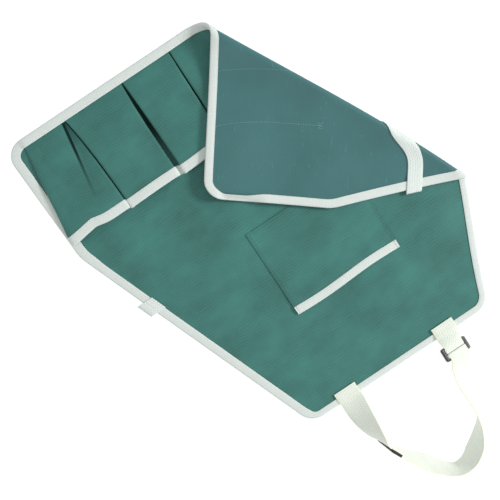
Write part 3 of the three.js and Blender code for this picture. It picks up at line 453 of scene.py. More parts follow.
def grid_sheet(name, top, bottom, uv, marks=None):
    """A closed sheet between two grids of points. Slot 0 is its front, slot 1 its back, slot 2 its rim."""
    rows, columns = top.shape[:2]
    count = rows * columns
    points = np.concatenate([top.reshape(-1, 3), bottom.reshape(-1, 3)])
    uvs = np.concatenate([uv.reshape(-1, 2)] * 2)
    j, i = np.meshgrid(np.arange(rows - 1), np.arange(columns - 1), indexing="ij")
    a = (j * columns + i).ravel()
    front = np.stack([a, a + columns, a + columns + 1, a + 1], 1)
    back = np.stack([a, a + 1, a + columns + 1, a + columns], 1) + count
    ring = np.concatenate([
        np.arange(columns),
        np.arange(1, rows) * columns + columns - 1,
        (rows - 1) * columns + np.arange(columns - 2, -1, -1),
        np.arange(rows - 2, 0, -1) * columns,
    ])
    after = np.roll(ring, -1)
    rim = np.stack([ring, after, after + count, ring + count], 1)
    faces = np.concatenate([front, back, rim])
    slots = [0] * len(front) + [1] * len(back) + [2] * len(rim)
    both = {mark: np.tile(np.ravel(values), 2) for mark, values in (marks or {}).items()}
    thing = new_object(name, points, faces, uvs, slots, marks=both)
    outwards(thing)
    sharp_edges(thing, 50)
    return thing


def swept(name, rings, uvs, closed=False, marks=None):
    """A bar from rings of points, each ring a closed section."""
    count, size = rings.shape[:2]
    r, k = np.meshgrid(np.arange(count if closed else count - 1), np.arange(size), indexing="ij")
    here, there = r.ravel() * size, (r.ravel() + 1) % count * size
    k = k.ravel()
    after = (k + 1) % size
    faces = np.stack([here + k, here + after, there + after, there + k], 1).tolist()
    if not closed:
        faces.append(list(range(size - 1, -1, -1)))
        faces.append(list(range((count - 1) * size, count * size)))
    thing = new_object(name, rings.reshape(-1, 3), faces, uvs.reshape(-1, 2), marks=marks)
    outwards(thing)
    sharp_edges(thing, 60)
    return thing


def unrolled(around, run):
    """Places on a flat tape or webbing for its rings: round the section, and along its length."""
    return np.stack(np.broadcast_arrays(around, run[:, None]), -1)


def made_plain(thing, context):
    """Turns a piece with its modifiers into a plain mesh."""
    plain = bpy.data.meshes.new_from_object(thing.evaluated_get(context.evaluated_depsgraph_get()))
    thing.modifiers.clear()
    thing.data = plain


# Materials


def plug(tree, node, links):
    """Gives a node's inputs their links or values. A node stands for its first output."""
    for name, value in links.items():
        if isinstance(value, bpy.types.Node):
            value = value.outputs[0]
        if isinstance(value, bpy.types.NodeSocket):
            tree.links.new(value, node.inputs[name])
        else:
            node.inputs[name].default_value = value


def add(tree, kind, links, **settings):
    """Adds a node with its settings and its inputs' links or values."""
    node = tree.nodes.new(kind)
    for name, value in settings.items():
        setattr(node, name, value)
    plug(tree, node, links)
    return node


def surface(name, **shader):
    """A new material: its node tree, and its main shader with the constants that never change."""
    material = bpy.data.materials.new(name)
    material.use_nodes = True
    main = material.node_tree.nodes["Principled BSDF"]
    for socket, value in shader.items():
        main.inputs[socket.replace("_", " ")].default_value = value
    return material.node_tree, main


def cloth_place(tree):
    """The place on the flat cloth, in millimetres: the whole and its two parts."""
    flat = add(tree, "ShaderNodeUVMap", {}, uv_map="cloth")
    scaled = add(tree, "ShaderNodeVectorMath", {0: flat, "Scale": 1 / MM}, operation="SCALE")
    parts = add(tree, "ShaderNodeSeparateXYZ", {"Vector": scaled})
    return scaled, parts.outputs["X"], parts.outputs["Y"]


def ribs(tree, along, pitch):
    """Round ribs across a direction, from 0 in the gaps to 1 on the threads."""
    turn = add(tree, "ShaderNodeMath", {0: along, 1: 2 * math.pi / pitch}, operation="MULTIPLY")
    wave = add(tree, "ShaderNodeMath", {0: turn}, operation="SINE")
    return add(tree, "ShaderNodeMath", {0: wave, 1: 0.5, 2: 0.5}, operation="MULTIPLY_ADD")


def toned(tree, start, *parts):
    """A plain number: start plus each part, a node and how much of it."""
    for node, amount in parts:
        start = add(tree, "ShaderNodeMath", {0: node, 1: amount, 2: start}, operation="MULTIPLY_ADD")
    return start


# The strip's points carry the distance past the slack crease, in mm, plus the first of these
# numbers, and those of the other pockets carry the second one as their distance
CREASE_ZERO = 1000.0
NO_CREASE = 500
# The crease's painted shade is the darker of a thin line that fades upwards and a wedge on the seam's side
# of it, darkest at the hem. Each is a product of ramps: what it reads (the distance past the line
# or off it, or the height t), from and to where, and its values there.
PAINTED_CREASE_SHADES = [
    [("off", 0.6, 3.8, 1.0, 0.0, "SMOOTHSTEP"), ("t", 30.0, 144.0, 1.5, 0.0, "LINEAR")],
    [("past", 0.0, 3.0, 0.0, 1.0, "LINEAR"), ("past", 300.0, 301.0, 1.0, 0.0, "LINEAR"),
     ("t", 16.0, 58.0, 0.8, 0.16, "LINEAR"), ("t", 60.0, 150.0, 1.0, 0.0, "LINEAR")],
]


def painted_pleat_shade(tree, t):
    """Painted shade: how dark the cloth folded in between two pockets, and the slack crease in the first
    pocket, are drawn.
    """
    shade, crease = (add(tree, "ShaderNodeAttribute", {}, attribute_name=name).outputs["Fac"]
                     for name in ("pleat", "crease"))
    past = add(tree, "ShaderNodeMath", {0: crease, 1: CREASE_ZERO}, operation="SUBTRACT")
    read = {"t": t, "past": past, "off": add(tree, "ShaderNodeMath", {0: past}, operation="ABSOLUTE")}
    for ramps in PAINTED_CREASE_SHADES:
        part = 1.0
        for reads, low, high, at_low, at_high, kind in ramps:
            ramp = add(tree, "ShaderNodeMapRange", {
                "Value": read[reads], "From Min": low, "From Max": high, "To Min": at_low, "To Max": at_high,
            }, interpolation_type=kind)
            part = add(tree, "ShaderNodeMath", {0: part, 1: ramp}, operation="MULTIPLY", use_clamp=True)
        shade = add(tree, "ShaderNodeMath", {0: shade, 1: part}, operation="MAXIMUM")
    return shade


def finished(tree, main, base, gain, height, depth):
    """Ends a material with its colour times a gain, and a relief with its depth in millimetres."""
    tint = add(tree, "ShaderNodeMix", {0: 1.0, 6: base, 7: gain}, data_type="RGBA", blend_type="MULTIPLY")
    relief = add(tree, "ShaderNodeBump", {"Height": height, "Distance": depth * MM})
    plug(tree, main, {"Base Color": tint.outputs[2], "Normal": relief})
    return tint.outputs[2]


def woven_face(colours):
    """Woven polyester: the matt face of a coated cloth. Its weft ribs run along the hem. Its broad mottle is
    partly uneven tone and partly painted sheen, and its slanting streaks are painted light streaks, also
    drawn as relief."""
    tree, main = surface("woven_polyester_face", Roughness=0.62, IOR=1.5,
                         Sheen_Weight=0.1, Sheen_Roughness=0.5)
    place, s, t = cloth_place(tree)
    # The real ribs are 0.7 mm apart. They are drawn 4.1 mm apart and wavy, as the photo's grain is.
    wander = add(tree, "ShaderNodeTexNoise", {"Vector": place, "Scale": 1 / 40, "Detail": 2.0})
    bent = add(tree, "ShaderNodeMath", {0: wander, 1: 14.0, 2: t}, operation="MULTIPLY_ADD")
    ribbed, cross = ribs(tree, bent, 4.1), ribs(tree, s, 3.7)
    # Mottle: partly the cloth's uneven tone, partly painted sheen
    mottle = add(tree, "ShaderNodeTexNoise",
                 {"Vector": place, "Scale": 1 / 75, "Detail": 3.0, "Roughness": 0.6})
    # Painted light: slanting pale streaks, like creases catching the light, which also raise the relief
    slanted = add(tree, "ShaderNodeMapping",
                  {"Vector": place, "Rotation": (0, 0, 0.9), "Scale": (0.35, 1.0, 1.0)})
    painted_light_streaks = add(tree, "ShaderNodeTexNoise", {"Vector": slanted, "Scale": 1 / 26, "Detail": 3.0})
    grain = add(tree, "ShaderNodeTexNoise", {"Vector": place, "Scale": 1 / 2.4, "Detail": 1.0})
    gain = toned(tree, 0.09, (ribbed, 0.16), (cross, 0.06), (mottle, 0.85), (painted_light_streaks, 0.50), (grain, 0.20))
    # Painted shade: the cloth folded in between two pockets, and the slack crease, lie in shade, so their
    # colour and gloss are darkened
    lit = toned(tree, 1.0, (painted_pleat_shade(tree, t), -0.9))
    gain = add(tree, "ShaderNodeMath", {0: gain, 1: lit}, operation="MULTIPLY")
    finished(tree, main, colours.face, gain, toned(tree, 0.0, (painted_light_streaks, 3.5), (ribbed, 0.5)), 0.22)
    gloss = add(tree, "ShaderNodeMath", {0: lit, 1: 0.5}, operation="MULTIPLY")
    plug(tree, main, {"Specular IOR Level": gloss})


def coated_back(colours):
    """Polyurethane coating on the cloth's back: smoother and bluer than the face, with fine scuffs
    and specks from handling."""
    tree, main = surface("coated_cloth_back", Roughness=0.5, IOR=1.48)
    place, s, t = cloth_place(tree)
    # Drawn coarser than the real weave, which is too fine to show
    weave = add(tree, "ShaderNodeMath", {0: ribs(tree, t, 3.6), 1: ribs(tree, s, 3.6)}, operation="MULTIPLY")
    mottle = add(tree, "ShaderNodeTexNoise", {"Vector": place, "Scale": 1 / 60, "Detail": 3.0})
    dots = add(tree, "ShaderNodeTexNoise", {"Vector": place, "Scale": 1 / 4.2, "Detail": 1.0})
    specks = add(tree, "ShaderNodeMath", {0: dots, 1: 0.73}, operation="GREATER_THAN")
    drawn = add(tree, "ShaderNodeMapping",
                {"Vector": place, "Rotation": (0, 0, 0.5), "Scale": (0.12, 1.0, 1.0)})
    strokes = add(tree, "ShaderNodeTexNoise", {"Vector": drawn, "Scale": 1 / 3.6, "Detail": 2.0})
    scuffs = add(tree, "ShaderNodeMath", {0: strokes, 1: 0.69}, operation="GREATER_THAN")
    marks = add(tree, "ShaderNodeMath", {0: specks, 1: scuffs}, operation="MAXIMUM")
    gain = toned(tree, 0.79, (weave, 0.08), (mottle, 0.30), (marks, 0.30))
    finished(tree, main, colours.back, gain, weave, 0.05)


def ribbed_tape(colours):
    """Grosgrain tape of spun polyester: fine cross ribs, matt, a little grubby."""
    tree, main = surface("grosgrain_tape", Roughness=0.78, IOR=1.5, Sheen_Weight=0.1)
    place, _, along = cloth_place(tree)
    # The real ribs are 0.6 mm apart. They are drawn 2.4 mm apart to show.
    ribbed = ribs(tree, along, 2.4)
    grub = add(tree, "ShaderNodeTexNoise",
               {"Vector": place, "Scale": 1 / 30, "Detail": 4.0, "Roughness": 0.6})
    grain = add(tree, "ShaderNodeTexNoise", {"Vector": place, "Scale": 1 / 1.8, "Detail": 1.0})
    gain = toned(tree, 0.84, (ribbed, 0.06), (grub, 0.10), (grain, 0.10))
    finished(tree, main, colours.tape, gain, toned(tree, 0.0, (ribbed, 1.0), (grain, 0.6)), 0.16)


def woven_webbing(name, base, selvedge, painted_glow):
    """Flat polypropylene webbing: slanting picks in narrow rows along its length, slightly shiny. The
    neck strap glows faintly in its own colour, painted light that keeps its shaded side pale."""
    tree, main = surface(name, Roughness=0.55, IOR=1.5, Sheen_Weight=0.15,
                         Emission_Color=base, Emission_Strength=painted_glow)
    place, across, along = cloth_place(tree)
    # Drawn about twice as coarse as the real picks, to show
    row = add(tree, "ShaderNodeMath", {0: across, 1: 4.0}, operation="PINGPONG")
    slant = add(tree, "ShaderNodeMath", {0: along, 1: row}, operation="ADD")
    picks, rows = ribs(tree, slant, 4.0), ribs(tree, across, 4.0)
    grain = add(tree, "ShaderNodeTexNoise", {"Vector": place, "Scale": 1 / 1.8, "Detail": 1.0})
    gain = toned(tree, 0.83, (picks, 0.11), (rows, 0.08), (grain, 0.08))
    plain = finished(tree, main, base, gain, toned(tree, 0.0, (picks, 0.6), (rows, 0.4)), 0.3)
    # The rounded edges take the selvedge colour: partly their own tone, partly a painted highlight
    edge = add(tree, "ShaderNodeAttribute", {}, attribute_name="selvedge").outputs["Fac"]
    tint = add(tree, "ShaderNodeMix", {0: edge, 6: plain, 7: selvedge}, data_type="RGBA")
    plug(tree, main, {"Base Color": tint.outputs[2]})


def moulded_nylon(colours):
    """Glass-filled nylon, injection moulded: dark, satin, with a fine spark-eroded grain."""
    tree, main = surface("moulded_nylon", Roughness=0.4, IOR=1.53)
    place = add(tree, "ShaderNodeTexCoord", {}).outputs["Object"]
    grain = add(tree, "ShaderNodeTexNoise", {"Vector": place, "Scale": 1 / (0.7 * MM), "Detail": 2.0})
    wear = add(tree, "ShaderNodeTexNoise", {"Vector": place, "Scale": 1 / (9 * MM), "Detail": 3.0})
    finished(tree, main, colours.slider, toned(tree, 0.7, (wear, 0.5), (grain, 0.12)), grain, 0.04)


def sewing_thread(name, base):
    """Twisted polyester sewing thread, matt, its twist just seen."""
    tree, main = surface(name, Roughness=0.6, IOR=1.5, Sheen_Weight=0.2)
    place = add(tree, "ShaderNodeTexCoord", {}).outputs["Object"]
    twist = add(tree, "ShaderNodeTexNoise", {"Vector": place, "Scale": 1 / (0.5 * MM), "Detail": 2.0})
    finished(tree, main, base, toned(tree, 0.82, (twist, 0.3)), twist, 0.05)


def studio_floor(colours):
    """Opal acrylic of a light table: matt and lit a little from below, so that shadows on it are faint."""
    surface("studio_floor", Roughness=0.9, Specular_IOR_Level=0.1, Base_Color=colours.floor,
            Emission_Color=linear("ffffff"), Emission_Strength=0.78)


MATERIALS = {
    "woven_polyester_face": woven_face,
    "coated_cloth_back": coated_back,
    "grosgrain_tape": ribbed_tape,
    # The neck strap glows at 0.25, painted light that keeps its shaded side pale; the belt has no glow
    "neck_webbing": lambda c: woven_webbing("neck_webbing", c.webbing, c.selvedge, 0.25),
    "belt_webbing": lambda c: woven_webbing("belt_webbing", c.belt, c.belt, 0.0),
    "moulded_nylon": moulded_nylon,
    "pale_thread": lambda c: sewing_thread("pale_thread", c.thread),
    "seam_thread": lambda c: sewing_thread("seam_thread", c.seam_thread),
    "dark_thread": lambda c: sewing_thread("dark_thread", c.dark_thread),
    "studio_floor": studio_floor,
}


def finish_of(name):
    """The named material, made when it is first asked for."""
    if name not in bpy.data.materials:
        MATERIALS[name](bpy.context.scene.apron_colours)
    return bpy.data.materials[name]


def dress(thing, *names):
    """Gives a piece its materials, one for each slot."""
    for name in names:
        thing.data.materials.append(finish_of(name))


# Pieces that are worked out along the pattern


def outline(cloth, step):
    """The pattern's outline as stations: place, way in across the tape, and distance along it."""
    p = cloth.p
    bib_left = (p.hem_width - p.bib_width) / 2
    corners = [
        ((0.0, 0.0), p.hem_corner), ((p.hem_width, 0.0), p.hem_corner),
        ((p.hem_width - p.side_pull, p.side_height), p.taper_corner),
        ((p.hem_width - bib_left, p.height), p.bib_corner), ((bib_left, p.height), p.bib_corner),
        ((p.side_pull, p.side_height), p.taper_corner),
    ]
    count = len(corners)
    arcs = []
    for i, (corner, radius) in enumerate(corners):
        at = np.array(corner)
        a = unit(at - np.array(corners[i - 1][0]))
        b = unit(np.array(corners[(i + 1) % count][0]) - at)
        turn = math.acos(float(a @ b))
        centre = at - a * radius * math.tan(turn / 2) + np.array([-a[1], a[0]]) * radius
        angles = math.atan2(a[1], a[0]) + turn * np.linspace(0, 1, max(4, round(radius * turn / step)) + 1)
        inward = np.stack([-np.sin(angles), np.cos(angles)], 1)
        arcs.append((centre - inward * radius, inward))
    places, inwards = [], []
    for i, (arc, inward) in enumerate(arcs):
        straight = arcs[(i + 1) % count][0][0] - arc[-1]
        steps = max(2, round(np.linalg.norm(straight) / step))
        places += [arc, arc[-1] + straight * (np.arange(1, steps) / steps)[:, None]]
        inwards += [inward, np.repeat(inward[-1:], steps - 1, 0)]
    places, inwards = np.concatenate(places), np.concatenate(inwards)
    # It starts and ends on the left edge, under the end of the belt
    start = int(np.argmin(np.abs(places[:, 1] - cloth.straps.belt_height) + places[:, 0]))
    places, inwards = np.roll(places, -start, 0), np.roll(inwards, -start, 0)
    return places, inwards, distances(places)


def tape_profile(p, width, room=0.0, back=None):
    """Section of folded tape: how far in from the cloth's edge and how high, all round it. room is
    what it takes in besides the cloth, and back the width of its lip behind, where it has its own."""
    back = back or width
    gap, thick = p.tape_gap, p.tape
    low, high = -gap, p.cloth + room + gap
    middle, half = (low + high) / 2, (high - low) / 2 + thick
    outer = [(width, high + thick * 0.75), (width - 0.5, high + thick)]
    outer += [(width * k, high + thick + TAPE_BELLY * math.sin(math.pi * k)) for k in (0.72, 0.5, 0.28)]
    bend = [math.pi * (0.5 + k / 8) for k in range(9)]
    outer += [(0.9 + (gap + thick + 0.9) * math.cos(a), middle + half * math.sin(a)) for a in bend]
    outer += [(back * 0.5, low - thick), (back - 0.5, low - thick), (back, low - thick * 0.75)]
    inner = [(back, low), (-gap * 0.5, low), (-gap, middle), (-gap * 0.5, high), (width, high)]
    return np.array(outer + inner)


def ride_as(thing, slot, *nodes):
    """Hides the part's nodes that a piece replaces, and hangs the piece on the root body that it rides on.
    The slot is not used.
    """
    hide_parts(*nodes)
    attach(thing, "root")


class BuildOperator(bpy.types.Operator):
    """Base of the apron's builders."""

    bl_options = {"REGISTER", "UNDO"}

    def execute(self, context):
        self.build(context, Cloth(context.scene))
        return {"FINISHED"}


def cloth_sheet(name, cloth, s, t, h):
    """A sheet of the apron's cloth from a grid of places, its back face at height h."""
    return grid_sheet(name, cloth.over(s, t, h + cloth.p.cloth), cloth.over(s, t, h), np.stack([s, t], -1))


def bound_tape(name, rings, around, run, nodes, closed=False):
    """A folded tape as a piece: its size laid flat is in millimetres."""
    tape = swept(name, rings, unrolled(around, run), closed)
    dress(tape, "grosgrain_tape")
    ride_as(tape, "tape", *nodes)


class APRON_OT_sheet(BuildOperator):
    """Makes the whole cut sheet of cloth, skirt and bib in one, with its folded side."""

    bl_idname = "apron.sheet"
    bl_label = "Sheet"

    def build(self, context, cloth):
        p = cloth.p
        rows, columns = 130, 210
        # Rows crowd towards the hem and the bib, where the corners are round
        t = p.height * (0.5 - 0.5 * np.cos(np.pi * np.linspace(0, 1, rows)))
        t = mix(t, np.linspace(0, p.height, rows), 0.35)
        places, _, _ = outline(cloth, 1.0)
        left_side = places[places[:, 0] < p.hem_width / 2]
        edge_s, edge_t = left_side[np.argsort(left_side[:, 1])].T
        keep = (edge_t > 1e-6) & (edge_t < p.height - 1e-6)
        bib_corner = edge_s[~keep & (edge_t > 1)].min()
        edge_s = np.concatenate([[p.hem_corner], edge_s[keep], [bib_corner]])
        edge_t = np.concatenate([[0.0], edge_t[keep], [p.height]])
        left = np.interp(t, edge_t, edge_s)[:, None]
        s = mix(left, p.hem_width - left, np.linspace(0, 1, columns)[None, :])
        t = np.repeat(t[:, None], columns, 1)
        thing = cloth_sheet("apron_sheet", cloth, s, t, 0.0)
        dress(thing, "woven_polyester_face", "coated_cloth_back", "coated_cloth_back")
        ride_as(thing, "cloth", "apron_panel")


# How far the tape bulges between its edge and its row of stitches
TAPE_BELLY = 0.25
# The binding's lip on the back is sewn a little shorter than the one on the front
BACK_LIP_SHORTER = 1.6
# How much narrower the front lip is on the tapers, and what is left of it on the bib
LEFT_LIP, RIGHT_LIP, BIB_LIP = 0.12, 0.34, 0.62
# How far in from the apron's sides the tape takes in the pocket strip as well
STRIP_IN = 22


def strip_room(cloth, places):
    """Room for the pocket strip, which the tape takes in along the hem."""
    p = cloth.p
    s, t = places.T
    on_hem = onset(s, STRIP_IN, 12) * onset(p.hem_width - STRIP_IN, s, 12) * (t < 6)
    return on_hem * (p.cloth + p.tape_gap + 1.0)


def lip_width(cloth, places):
    """Width of the edge binding's front lip at places on the edge: it was sewn unevenly, and is
    narrower along the tapers and the bib."""
    p = cloth.p
    s, t = places.T
    narrower = onset(t, p.side_height + 10, 30) * np.where(s > p.hem_width / 2, RIGHT_LIP, LEFT_LIP)
    return p.tape_width * mix(1 - narrower, BIB_LIP, onset(t, p.height - 12, 12))


class APRON_OT_binding(BuildOperator):
    """Makes the pale tape folded over the whole edge."""

    bl_idname = "apron.binding"
    bl_label = "Edge binding"

    def build(self, context, cloth):
        p = cloth.p
        places, inwards, run = outline(cloth, 3.0)
        rings, around = [], []
        rooms, lips = strip_room(cloth, places), lip_width(cloth, places)
        for room, lip, place, inward in zip(rooms, lips, places, inwards):
            profile = tape_profile(p, lip, room, back=p.tape_width - BACK_LIP_SHORTER)
            s, t = place[:, None] + inward[:, None] * profile[:, 0]
            rings.append(cloth.over(s, t, profile[:, 1]))
            around.append(distances(profile))
        nodes = ("hem_tape", "right_tape", "bib_tape", "left_tape")
        bound_tape("edge_binding", np.array(rings), np.array(around), run, nodes,
                   closed=True)


def pleat_columns(width, seam, pocket):
    """Columns of one pleat: down the edge of one pocket and up the edge of the next."""
    foot, mouth = seam.foot * width, seam.mouth * width
    side = [((len(PLEAT) - k) * PLEAT_AT_FOOT, seam.gap + (under if seam.under else plain), rise)
            for k, (under, plain, rise) in enumerate(PLEAT)]
    down = [(foot - low, mouth - high, rise, 0.0, 0.0, pocket) for low, high, rise in side]
    up = [(foot + low, mouth + high, rise, 0.0, 0.0, pocket + 1) for low, high, rise in reversed(side)]
    return down + [(foot, mouth, 0.0, 0.0, 0.0, pocket)] + up


def pocket_columns(cloth):
    """Columns of the pocket strip from left to right, in mm: place at the hem, place at the mouth,
    rise (a share of the swell), share of the crown, whether it is on the side, and its pocket."""
    width, shoulder = cloth.width, cloth.pockets.shoulder
    inset, foot_inset = POCKET_SIDE_INSET, cloth.p.hem_corner + 1
    rows = [(foot_inset + foot, inset * mouth, rise, 0.0, 1.0, 0) for foot, mouth, rise in SIDE_EDGE]
    reach, flat = PLEAT[0][0], PLEAT_AT_FOOT * (len(PLEAT) + 1)
    starts = [(inset + foot_inset, inset + foot_inset)]
    starts += [(seam.foot * width + flat, seam.mouth * width + seam.gap + reach) for seam in SEAMS]
    ends = [(seam.foot * width - flat, seam.mouth * width - seam.gap - reach) for seam in SEAMS]
    ends += [(width - foot_inset - shoulder * 1.5, width - foot_inset - shoulder * 1.5)]
    for pocket, ((left_foot, left), (right_foot, right)) in enumerate(zip(starts, ends)):
        steps = max(6, round((right - left) / COLUMN_STEP))
        for share in np.arange(1, steps) / steps:
            rows.append((mix(left_foot, right_foot, share), mix(left, right, share), 1.0,
                         math.sin(math.pi * share), 0.0, pocket))
        if pocket < len(SEAMS):
            rows += pleat_columns(width, SEAMS[pocket], pocket)
    end, foot_end = width - inset, width - foot_inset
    rows.append((foot_end - shoulder, end - shoulder, 0.7, 0.0, 0.0, len(SEAMS)))
    rows.append((foot_end, end, 0.0, 0.0, 0.0, len(SEAMS)))
    return np.array(rows)


# How far the pleats have opened, and how far the left side has come in, as shares up the strip
OPENING = ([0, 0.07, 0.12, 0.3, 0.5, 0.8, 1], [0, 0, 0.24, 0.62, 0.86, 0.96, 1])
SIDE_CREEP = ([0, 0.09, 0.25, 0.45, 0.7, 0.9, 1], [0, 0, 0.22, 0.43, 0.7, 0.95, 1])
# The slack crease in the first pocket: where it starts at its seam, and where it ends, as s and t,
# and how slack the pocket is there, at the crease and at the seam
CREASE = ((101.0, 14.0), (83.0, 124.0))
CREASE_SLACK = (0.66, 0.5)


def past_crease(s, t):
    """How far a place is past the crease's line."""
    (s0, t0), (s1, t1) = CREASE
    return s - mix(s0, s1, (t - t0) / (t1 - t0))


def pocket_place(cloth, columns, t):
    """For every column at a height t: s, and h of the strip's inner face."""
    p, pockets = cloth.p, cloth.pockets
    share = t / pockets.height
    opened = np.interp(share, *OPENING)
    creep = np.interp(share, *SIDE_CREEP)
    foot, mouth, rise, crown, side, pocket = columns.T
    across = mix(foot, mouth, np.where(side > 0, creep, opened))
    left, right = cloth.left(np.asarray(t)), cloth.right(np.asarray(t))
    s = left + across * (right - left) / p.hem_width
    out, along = cloth.fold_place(s, t)
    arc = cloth.roll_turn * (cloth.fold.apex - along)
    in_roll = ease((out + 60) / 60) * ease((arc + 60 - out) / 60)
    pressed = onset(s, SEAMS[2].foot * p.hem_width, 60)
    swell = mix(1, PRESSED_SWELL, pressed) * (1 - in_roll)
    tape_room = (p.tape + p.tape_gap) * onset(t, pockets.height - 50, 30)
    over_tape = np.where(side > 0, (p.tape + p.tape_gap * 1.5) * onset(creep, 0.28, 0.15), 0)
    base = p.cloth + p.tape_gap + 0.5 * in_roll + tape_room + over_tape
    past = past_crease(s, t)
    to_seam = SEAMS[0].foot * p.hem_width + 10 - CREASE[0][0] + 22 * share
    slack = mix(*CREASE_SLACK, ease(past / to_seam)) * onset(past, -4, 8) * (1 - onset(share, 0.3, 0.42))
    slack = np.where(pocket == 0, slack, 0)
    return s, base + (pockets.swell * rise + pockets.crown * crown) * opened * swell * (1 - slack)


# How the mouths hang, in mm: a slow wave, the sag of the first pocket's mouth, and the lift of the
# others past their seams
MOUTH_WAVE, FIRST_SAG, SEAM_LIFT = 0.7, 6.0, 2.4


def mouth_hang(columns, share):
    """How far the strip sags along t at a share of its height: its mouths don't hang quite level."""
    mouth, pocket = columns[:, 1], columns[:, 5]
    starts = np.array([0.0, *(seam.mouth for seam in SEAMS)]) * columns[-1, 1] / 0.974
    past = mouth - starts[pocket.astype(int)]
    dip = MOUTH_WAVE * np.sin(mouth / 33 + 1.0) - FIRST_SAG * np.exp(-(((mouth - 44) / 21) ** 2))
    dip = dip + np.where(pocket > 0, SEAM_LIFT * (1 - ease(past / 90)), 0)
    return dip * onset(share, 0.35, 0.6)


def pocket_rows(cloth, columns, t, off):
    """Points of the strip at a height t, off in front of its inner face, for all columns."""
    s, h = pocket_place(cloth, columns, t)
    line = np.stack([s, h], 1)
    way = unit(np.diff(line, axis=0))
    before = np.concatenate([way[:1], way])
    after = np.concatenate([way, way[-1:]])
    normal = np.stack([-(before + after)[:, 1], (before + after)[:, 0]], 1)
    size = np.maximum(np.linalg.norm(normal, axis=1, keepdims=True), 0.2)
    normal = normal / size * np.minimum(1.5, 2 / size)
    place = line + normal * off
    hung = t + mouth_hang(columns, t / cloth.pockets.height)
    return cloth.over(place[:, 0], hung, place[:, 1])


class APRON_OT_pocket_strip(BuildOperator):
    """Makes the strip of cloth with the six pockets, and the tape along their mouths."""

    bl_idname = "apron.pocket_strip"
    bl_label = "Pocket strip"

    def build(self, context, cloth):
        p, pockets = cloth.p, cloth.pockets
        columns = pocket_columns(cloth)
        heights = pockets.height * np.concatenate([[0.005, 0.03, 0.06], np.linspace(0.09, 1, 34)])
        inner, outer = (np.array([pocket_rows(cloth, columns, t, off) for t in heights])
                        for off in (0.0, p.cloth))
        at_mouth = pocket_place(cloth, columns, pockets.height)[0]
        up = heights[:, None]
        # Painted shade of the cloth folded in between two pockets, which the material reads as the mark pleat
        folded_in = ease((0.9 - columns[:, 2]) / 0.5) * (columns[:, 4] == 0)
        shade = folded_in * onset(up, p.tape_width - 2, 4)
        # Painted shade: half way up, a pleat opens enough for its floor to catch light between its two dark
        # edges, so the painted shade on its floor is halved
        shade = shade * mix(1, 0.5, onset(up / pockets.height, 0.5, 0.3))
        # The distance past the slack crease, where the material paints the crease's shade
        past = np.array([past_crease(pocket_place(cloth, columns, t)[0], t) for t in heights])
        crease = CREASE_ZERO + np.where(columns[:, 5] == 0, past, NO_CREASE)
        strip = grid_sheet("pocket_strip", outer, inner, unrolled(at_mouth, heights),
                           marks={"pleat": shade, "crease": crease})
        dress(strip, "woven_polyester_face", "coated_cloth_back", "coated_cloth_back")
        ride_as(strip, "cloth", "pocket_panel")

        profile = tape_profile(p, p.tape_width)
        rings = [pocket_rows(cloth, columns, pockets.height - inward, off) for inward, off in profile]
        rings = np.stack(rings, 1)
        run = distances(rings[:, 0])
        bound_tape("pocket_mouth_binding", rings, distances(profile), run,
                   ["pocket_mouth_tape"])


# How far the patch pocket's mouth sways along t, and how far its middle stands up, in mm
MOUTH_SWAY, MOUTH_RISE = 1.6, 1.2


def bib_pocket_place(cloth, share, up):
    """s, t and the inner face's h for shares across the patch pocket and up it."""
    p, pockets = cloth.p, cloth.pockets
    left = (p.hem_width - pockets.bib_width) / 2 + pockets.bib_offset
    s = left + pockets.bib_width * share
    # The mouth hangs in a slack S between its two ends
    sway = MOUTH_SWAY * np.sin(2 * np.pi * share) * ease(up)
    t = pockets.bib_foot + pockets.bib_height * up + sway
    tape_room = (p.tape + p.tape_gap) * ease((up - 0.6) / 0.3)
    h = p.cloth + p.tape_gap + tape_room + MOUTH_RISE * np.sin(np.pi * share) * ease(up)
    return s, t, h


class APRON_OT_bib_pocket(BuildOperator):
    """Makes the patch pocket on the bib and the tape along its mouth."""

    bl_idname = "apron.bib_pocket"
    bl_label = "Bib pocket"

    def build(self, context, cloth):
        p, pockets = cloth.p, cloth.pockets
        share, up = np.meshgrid(np.linspace(0, 1, 64), np.linspace(0, 1, 50))
        s, t, h = bib_pocket_place(cloth, share, up)
        thing = cloth_sheet("bib_pocket_patch", cloth, s, t, h)
        dress(thing, "woven_polyester_face", "coated_cloth_back", "woven_polyester_face")
        ride_as(thing, "cloth", "bib_pocket")

        profile = tape_profile(p, pockets.bib_tape)
        shares = np.linspace(0, 1, 80)
        s, t, h = bib_pocket_place(cloth, shares[:, None], 1 - profile[:, 0] / pockets.bib_height)
        bound_tape("bib_pocket_binding", cloth.over(s, t, h + profile[:, 1]), distances(profile),
                   pockets.bib_width * shares, ["bib_pocket_tape"])


def webbing_section(width, thick):
    """Section of flat webbing with rounded selvedges: places across it and through it."""
    half, r = width / 2, thick / 2
    bend = [math.pi * k / 6 for k in range(1, 6)]
    top = [(-half + r, r), (-half * 0.5, r), (0, r), (half * 0.5, r), (half - r, r)]
    right = [(half - r + r * math.sin(a), r * math.cos(a)) for a in bend]
    bottom = [(x, -y) for x, y in reversed(top)]
    left = [(-half + r - r * math.sin(a), -r * math.cos(a)) for a in bend]
    return np.array(top + right + bottom + left)


# The belt is sewn down at its two ends only, and slips aside in the roll: how far along t, at
# places along s
BELT_COURSE = ([400, 440, 480, 512, 522, 533, 547, 562, 600], [0, -10, -24, -32, -22, -8, 3, 7, 7])


def selvedges(section, count):
    """Marks the rounded edges of webbing, where their yellower tone and painted highlight go."""
    edge = np.abs(section[:, 0]) > np.abs(section[:, 0]).max() - np.abs(section[:, 1]).max() * 0.95
    return {"selvedge": np.tile(edge.astype(float), count)}


